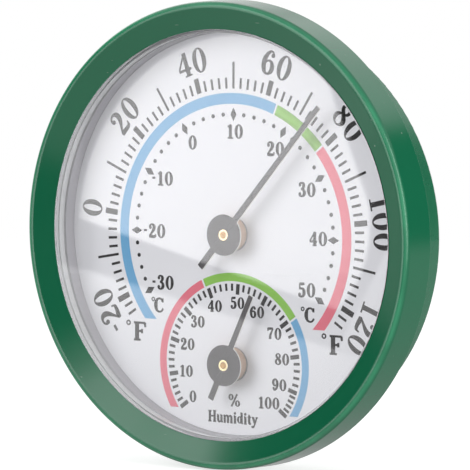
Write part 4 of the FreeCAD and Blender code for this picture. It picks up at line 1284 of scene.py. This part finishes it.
class HYGROMETER_OT_cover(Maker, bpy.types.Operator):
    """Clear cover with its flange and skirt"""
    bl_idname = "hygrometer.cover"
    bl_label = "Clear cover"

    def execute(self, context):
        own = sizes("ring")
        face_back = own.lens_front + own.lens_wall
        flange_back = own.lens_flange_front + own.lens_flange_wall
        section, edge = section_of([
            (0, own.lens_front), (own.lens_radius, own.lens_front, own.lens_edge),
            (own.lens_radius, own.lens_flange_front, own.lens_corner),
            (own.lens_flange, own.lens_flange_front, own.lens_edge),
            (own.lens_flange, flange_back, own.lens_edge),
            (own.skirt, flange_back, own.lens_corner), (own.skirt, own.skirt_end, own.lens_edge),
            (own.skirt_bore, own.skirt_end, own.lens_edge), *self.grooves(own),
            (own.skirt_bore, face_back, own.lens_fillet), (0, face_back)])
        rim = section[:, 0] > own.skirt_bore + own.lens_fillet
        behind = section[1:, 1] > depth_y(own.lens_flange_front) - SLACK
        paint = (rim[:-1] & rim[1:] & behind).astype(int)
        add_piece("clear_cover", [turned(section, edge, loop=False, paint=paint)],
                  [finish("polished_clear"), finish("moulded_clear")], "case", ["lens"])
        return {"FINISHED"}

    def grooves(self, own):
        """Corners of the fine grooves round the skirt's bore, from its back edge to the front."""
        half = own.groove / 2
        corners = []
        last = own.skirt_end - own.groove_from_end
        first = own.lens_front + own.lens_wall + own.groove_from_face
        for depth in np.linspace(last, first, GROOVES):
            corners += [(own.skirt_bore, depth + half), (own.skirt_bore + half, depth),
                        (own.skirt_bore, depth - half)]
        return corners


class HYGROMETER_OT_case(Maker, bpy.types.Operator):
    """Finishes of the housing, tray, dial, leg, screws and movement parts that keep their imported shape"""
    bl_idname = "hygrometer.case"
    bl_label = "Case finishes"

    def execute(self, context):
        dress("housing_green", "rear_housing", "stand_leg")
        # The tray's grey finish is painted shade
        dress("tray_white", "dial_carrier")
        dress("dial_white", "dial_sheet")
        dress("plated_steel", "case_screws", "stand_pins")
        for movement in ("temperature", "humidity"):
            dress("turned_brass", movement + "_bush", movement + "_nut", movement + "_adjuster")
            dress("post_brass", movement + "_post")
            dress("plated_steel", movement + "_washer", movement + "_friction_washer")
        return {"FINISHED"}


# Values of the ticks and the value at the top of each circle
FAHRENHEIT_MARKS = np.arange(-24, 125, 2)
FAHRENHEIT_TOP = 50
CELSIUS_MARKS = np.arange(-30, 51, 2)
CELSIUS_TOP = 10
HUMIDITY_MARKS = np.arange(0, 101, 2)
# Angle in degrees of every tenth percent, and of the minus sign of -20 degrees Fahrenheit
HUMIDITY_TENS = (-125.9, -100.4, -74.3, -48.5, -22.5, 4.0, 29.8, 55.0, 81.2, 107.7, 127.1)
MINUS_TURN = -124.3
# Way of large numerals off their places on the circle, across and up, in millimetres
NUDGES = {20: (0.2, 0.3), 40: (-0.15, 0.0), 60: (0.3, -0.15), 80: (0.37, 0.34), 100: (0.46, -0.22),
          120: (-0.24, -1.4)}
# Middles of the upright numerals, across and up, in millimetres: Celsius from its scale's centre
CELSIUS_PLACES = {-30: (-24.8, -14.9), -20: (-27.8, -0.25), -10: (-24.9, 14.85), 0: (-14.25, 25.4),
                  10: (0.4, 28.95), 20: (14.35, 24.45), 30: (25.05, 13.45), 40: (28.9, -0.05),
                  50: (25.0, -14.55)}
HUMIDITY_PLACES = [(-14.2, -46.9), (-16.6, -39.75), (-16.15, -32.05), (-12.55, -25.45), (-6.55, -20.65),
                   (1.3, -19.4), (8.1, -21.65), (14.05, -27.35), (16.7, -34.4), (15.75, -41.7),
                   (12.15, -47.0)]
# Units: height, across and up, then the degree ring's place and radius, in millimetres
FAHRENHEIT_UNITS = ((5.2, -33.15, -29.35, -37.15, -27.05, 0.8), (5.2, 34.95, -29.35, 30.95, -27.05, 0.8))
CELSIUS_UNITS = ((4.0, -26.15, -21.45, -28.25, -19.85, 0.65), (4.0, 26.15, -21.45, 23.75, -19.85, 0.65))
# Boldness and width of the signs F and C
FAHRENHEIT_PEN = (0.035, 1.3)
CELSIUS_PEN = (0.045, 1.2)
# Text, height, across and up in millimetres, gap, boldness and width
HUMIDITY_WORDS = (("%", 3.6, 0.3, -47.05, GLYPH_GAP, 0.045, GLYPH_WIDE),
                  ("Humidity", 3.1, -0.2, -52.0, 0.02, 0.04, 1.1))
# End of one colour and start of the next, in degrees Celsius and in percent
TEMPERATURE_CHANGES = ((17.15, 17.45), (26.25, 26.55))
HUMIDITY_CHANGES = ((38.8, 39.3), (70.2, 70.7))


class HYGROMETER_OT_prints(Maker, bpy.types.Operator):
    """Printed scales: ticks, dots, numerals and words in black, and the colour bands"""
    bl_idname = "hygrometer.prints"
    bl_label = "Printed scales"

    def execute(self, context):
        own = sizes("dial")
        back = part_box("dial_sheet")[0].y
        front = back - own.ink
        black = Sheet(front, back)
        self.fahrenheit(own, black)
        self.celsius(own, black)
        self.humidity(own, black)
        add_piece("print_black", black.shells(), [finish("black_ink")], "case")
        bands = {"blue": [], "green": [], "red": []}
        self.temperature_bands(own, bands)
        self.humidity_bands(own, bands)
        for name, sectors in bands.items():
            add_piece("print_" + name, [ribbons(sector[None], front, back, False) for sector in sectors],
                      [finish(name + "_ink")], "case")
        return {"FINISHED"}

    def fahrenheit(self, own, sheet):
        """Ticks every 2 degrees from -24 to 124, and numerals every 20 that stand on a circle."""
        z = own.temperature_z
        marks, step = FAHRENHEIT_MARKS, own.fahrenheit_step
        thick = marks % 20 == 0
        long = marks % 20 == 10
        turns = (marks - FAHRENHEIT_TOP) * step
        sheet.bars(turns[~thick & ~long], own.tick_in, own.tick_out, own.tick_w, z)
        sheet.bars(turns[long], own.tick_in, own.long_out, own.tick_w, z)
        sheet.bars(turns[thick], own.bar_in, own.bar_out, own.bar_w, z)
        for value in range(-20, 121, 20):
            turn = (value - FAHRENHEIT_TOP) * step
            across, up = NUDGES.get(value, (0.0, 0.0))
            sheet.arched_word(str(abs(value)), own.big_h, own.big_ring, turn, z + up * MM, across * MM)
        sheet.arched_word("-", own.big_h, own.big_ring, math.radians(MINUS_TURN), z)
        self.units("F", FAHRENHEIT_UNITS, FAHRENHEIT_PEN, sheet)

    def units(self, sign, rows, pen, sheet):
        """A unit's letter with its degree ring, at both ends of a scale."""
        for row in rows:
            height, x, up, ring_x, ring_up, radius = np.array(row) * MM
            sheet.word(sign, height, x, up, bold=pen[0], wide=pen[1])
            sheet.small_ring(ring_x, ring_up, radius)

    def celsius(self, own, sheet):
        """Dots every 2 degrees, diamonds every 10, and upright numerals inside them."""
        z = own.temperature_z
        marks = CELSIUS_MARKS
        tens = marks % 10 == 0
        turns = (marks - CELSIUS_TOP) * own.celsius_step
        sheet.marks(ball(0, 0, own.dot), turns[~tens], own.dot_ring, z)
        w, h = own.diamond_w / 2, own.diamond_h / 2
        sheet.marks(np.array([(0, -h), (w, 0), (0, h), (-w, 0)]), turns[tens], own.dot_ring, z)
        for value, (x, up) in CELSIUS_PLACES.items():
            sheet.word(str(value), own.small_h, x * MM, up * MM)
        self.units("C", CELSIUS_UNITS, CELSIUS_PEN, sheet)

    def humidity(self, own, sheet):
        """Ticks every 2 percent between the measured tens, upright numerals, the sign and the word."""
        z = own.humidity_z
        tens = self.humidity_tens()
        marks = HUMIDITY_MARKS
        turns = np.interp(marks, *tens)
        thick = marks % 10 == 0
        sheet.bars(turns[~thick], own.humidity_tick_in, own.humidity_tick_out, own.humidity_tick_w, z)
        sheet.bars(turns[thick], own.humidity_bar_in, own.humidity_tick_out, own.humidity_bar_w, z)
        for value, (x, up) in zip(range(0, 101, 10), HUMIDITY_PLACES):
            sheet.word(str(value), own.humidity_h, x * MM, up * MM)
        for sign, height, x, up, gap, bold, wide in HUMIDITY_WORDS:
            sheet.word(sign, height * MM, x * MM, up * MM, gap, bold, wide)

    def humidity_tens(self):
        """Percent and angle of each numeral's mark."""
        return np.arange(0, 101, 10), np.radians(HUMIDITY_TENS)

    def sector(self, inner, outer, z, start, end):
        """A ring sector; start and end hold the angle of its inner and outer corner."""
        t = np.linspace(0, 1, BAND_STEPS)[:, None]
        turns = np.array(start) + t * (np.array(end) - np.array(start))
        radii = np.array([inner, outer])
        return np.stack([radii * np.sin(turns), radii * np.cos(turns) + z], -1)

    def cut_turns(self, inner, outer, drop):
        """Where a level line this far above the centre meets both radii."""
        return np.array([math.acos(drop / inner), math.acos(drop / outer)])

    def temperature_bands(self, own, bands):
        """Blue up to 17 degrees Celsius, green to 26, red beyond, cut off level at both ends."""
        inner, outer, z = own.band_in, own.band_out, own.temperature_z
        cut = self.cut_turns(inner, outer, own.band_end_z - z)

        def at(degrees):
            return np.full(2, (degrees - CELSIUS_TOP) * own.celsius_step)

        (blue_end, green_start), (green_end, red_start) = TEMPERATURE_CHANGES
        bands["blue"].append(self.sector(inner, outer, z, -cut, at(blue_end)))
        bands["green"].append(self.sector(inner, outer, z, at(green_start), at(green_end)))
        bands["red"].append(self.sector(inner, outer, z, at(red_start), cut))

    def humidity_bands(self, own, bands):
        """Red up to 39 percent, green to 70, blue beyond, cut off level at both ends."""
        inner, outer, z = own.humidity_band_in, own.humidity_band_out, own.humidity_z
        cut = self.cut_turns(inner, outer, own.humidity_end_z - z)

        def at(percent):
            return np.full(2, np.interp(percent, *self.humidity_tens()))

        (red_end, green_start), (green_end, blue_start) = HUMIDITY_CHANGES
        bands["red"].append(self.sector(inner, outer, z, -cut, at(red_end)))
        bands["green"].append(self.sector(inner, outer, z, at(green_start), at(green_end)))
        bands["blue"].append(self.sector(inner, outer, z, at(blue_start), cut))


def hub_places(name):
    """X and Z of a movement's axis, from its post."""
    low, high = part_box(name + "_post")
    return (low.x + high.x) / 2, (low.z + high.z) / 2


class HYGROMETER_OT_pointers(Maker, bpy.types.Operator):
    """Stamped black pointers with bare sheared edges, tails and the coils' tabs"""
    bl_idname = "hygrometer.pointers"
    bl_label = "Pointers"

    def execute(self, context):
        own = sizes("movement")
        for name in ("temperature", "humidity"):
            reach, tail = getattr(own, name + "_reach"), getattr(own, name + "_tail")
            widths = [getattr(own, f"{name}_{part}_w") for part in ("root", "tip", "tail")]
            turn = getattr(own, name + "_rest")
            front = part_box(name + "_pointer")[0].y
            outline = turned_places(self.outline(own, reach, tail, *widths), turn)
            shells = [self.plate(own, outline, front, name), self.tab(own, turn, front, name)]
            add_piece(name + "_hand", shells, [finish("black_enamel"), finish("sheared_edge")],
                      name + "_needle", [name + "_pointer"])
        return {"FINISHED"}

    def outline(self, own, reach, tail, root_w, tip_w, tail_w):
        """The hub's circle with a tapered blade up and a straight tail down, as (across, up)."""
        blade_turn = math.asin(root_w / 2 / own.hub)
        tail_turn = HALF_TURN - math.asin(tail_w / 2 / own.hub)
        arc = np.linspace(blade_turn, tail_turn, HUB_STEPS)
        tip = own.tip_round
        right = [(own.hub * math.sin(a), own.hub * math.cos(a)) for a in arc]
        right[0] += (own.neck,)
        right[-1] += (own.neck,)
        left = [(-corner[0], *corner[1:]) for corner in reversed(right)]
        corners = [(-tip_w / 2, reach, tip), (tip_w / 2, reach, tip), *right, (tail_w / 2, -tail, tip),
                   (-tail_w / 2, -tail, tip), *left]
        return rounded(corners)[0]

    def plate(self, own, outline, front, name):
        """Quads from the hub's hole to the outline on both faces, and a quarter circle at each edge."""
        x, z = hub_places(name)
        steps = np.linspace(0, HALF_TURN / 2, BURR_STEPS)
        back = front + own.sheet
        rings = [(own.burr * (1 - math.sin(a)), front + own.burr * (1 - math.cos(a))) for a in steps]
        rings += [(by, 2 * front + own.sheet - y) for by, y in reversed(rings)]
        spokes = outline / np.linalg.norm(outline, axis=1)[:, None] * own.hub_bore
        loops = [dial_points(spokes, front)]
        loops += [dial_points(inset(outline, by), y) for by, y in rings]
        loops.append(dial_points(spokes, back))
        grid = np.stack(loops, 1) + np.array([x, 0, z])
        paint = np.zeros(grid.shape[1], int)
        paint[2:-3] = 1
        edge = np.zeros(grid.shape[1])
        edge[1:-1] = HAND_WEAR
        return lofted(grid[None], wrap=True, paint=paint, edge=edge)

    def tab(self, own, turn, front, name):
        """A rounded strip that stands behind the hub, by the coil's outer end."""
        x, z = hub_places(name)
        low = own.coil + own.tab_gap
        half, round_by = own.tab_w / 2, own.tab_round
        outline = rounded([(-half, low, round_by), (half, low, round_by), (half, low + own.tab_t, round_by),
                           (-half, low + own.tab_t, round_by)])[0]
        placed_outline = turned_places(outline, turn + own.tab_angle, x, z)
        return prisms(placed_outline[None], front + own.burr, front + own.sheet + own.tab_len)


class HYGROMETER_OT_eyelets(Maker, bpy.types.Operator):
    """Brass eyelets with a rolled rim, riveted in the pointers' hubs"""
    bl_idname = "hygrometer.eyelets"
    bl_label = "Eyelets"

    def execute(self, context):
        own = sizes("movement")
        for name in ("temperature", "humidity"):
            x, z = hub_places(name)
            low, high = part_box(name + "_eyelet")
            sheet_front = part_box(name + "_pointer")[0].y
            sheet_back = sheet_front + own.sheet
            fine = own.eyelet_edge
            section, edge = rounded([
                (own.eyelet_bore, low.y, own.eyelet_roll), (own.eyelet_rim, low.y, own.eyelet_roll),
                (own.eyelet_rim, sheet_front, fine), (own.hub_bore, sheet_front), (own.hub_bore, sheet_back),
                (own.eyelet_rim, sheet_back, fine), (own.eyelet_rim, high.y, fine),
                (own.eyelet_bore, high.y, fine)])
            add_piece(name + "_ring", [turned(section, edge, EYELET_STEPS, z, x)], [finish("turned_brass")],
                      name + "_needle", [name + "_eyelet"])
        return {"FINISHED"}


class HYGROMETER_OT_coils(Maker, bpy.types.Operator):
    """Bimetal coils, wound from a thin strip on edge"""
    bl_idname = "hygrometer.coils"
    bl_label = "Coils"

    def execute(self, context):
        own = sizes("movement")
        for name in ("temperature", "humidity"):
            x, z = hub_places(name)
            low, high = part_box(name + "_coil")
            start = getattr(own, name + "_rest") + own.tab_angle
            shell = self.strip(own, start, low.y, high.y + own.coil_sink, x, z)
            add_piece(name + "_spiral", [shell], [finish("rolled_strip"), finish("sheared_edge")],
                      name + "_setting", [name + "_coil"])
        return {"FINISHED"}

    def strip(self, own, start, front, back, x, z):
        """A spiral whose radius falls evenly with its angle, swept with the strip's rounded section.

        At a share s of the way the angle is the start plus s times all turns, and the radius is the
        outer one less s times the whole fall. The strip's front edge is bare.
        """
        outer = own.coil - own.strip / 2
        share_along = np.linspace(0, 1, int(own.coil_turns * COIL_STEPS_PER_TURN))[:, None]
        turn = start + share_along * own.coil_turns * FULL_TURN
        radius = outer + share_along * (own.coil_inner - outer)
        half, fine = own.strip / 2, own.strip_round
        section, edge = rounded([(-half, front, fine), (half, front, fine), (half, back, fine),
                                 (-half, back, fine)])
        away = radius + section[None, :, 0]
        depth = section[None, :, 1] + 0 * turn
        grid = np.stack([x + away * np.sin(turn), depth, z + away * np.cos(turn)], -1)
        bare = section[:, 1] < front + half
        return lofted(grid[None], paint=bare & np.roll(bare, -1), edge=edge * STRIP_WEAR)


class HYGROMETER_PT_panel(bpy.types.Panel):
    """Sizes, colours and makers of the thermo-hygrometer"""
    bl_idname = "HYGROMETER_PT_panel"
    bl_label = "Thermo-hygrometer"
    bl_space_type = "VIEW_3D"
    bl_region_type = "UI"
    bl_category = "Thermo-hygrometer"

    def draw(self, context):
        for maker in MAKERS:
            self.layout.operator(maker.bl_idname)
        for group in GROUPS:
            own = sizes(group)
            box = self.layout.box()
            box.label(text=group.capitalize())
            for name in own.__annotations__:
                box.prop(own, name)


GROUPS = {"ring": RingSizes, "dial": DialSizes, "movement": MovementSizes, "finishes": Finishes,
          "studio": StudioSizes}
MAKERS = (HYGROMETER_OT_stage, HYGROMETER_OT_ring, HYGROMETER_OT_cover, HYGROMETER_OT_case,
          HYGROMETER_OT_prints, HYGROMETER_OT_pointers, HYGROMETER_OT_eyelets, HYGROMETER_OT_coils)


def register():
    """Adds the classes and hangs each group of sizes on the scene."""
    for kind in (*GROUPS.values(), *MAKERS, HYGROMETER_PT_panel):
        bpy.utils.register_class(kind)
    for name, group in GROUPS.items():
        setattr(bpy.types.Scene, "hygrometer_" + name, PointerProperty(type=group))


def unregister():
    """Takes everything away again."""
    for name in GROUPS:
        delattr(bpy.types.Scene, "hygrometer_" + name)
    for kind in (HYGROMETER_PT_panel, *MAKERS, *GROUPS.values()):
        bpy.utils.unregister_class(kind)


def main():
    """Makes the scene."""
    register()
    bpy.ops.hygrometer.stage()
    bpy.ops.hygrometer.ring()
    bpy.ops.hygrometer.cover()
    bpy.ops.hygrometer.case()
    bpy.ops.hygrometer.prints()
    bpy.ops.hygrometer.pointers()
    bpy.ops.hygrometer.eyelets()
    bpy.ops.hygrometer.coils()
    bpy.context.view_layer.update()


if __name__ == "__main__":
    main()
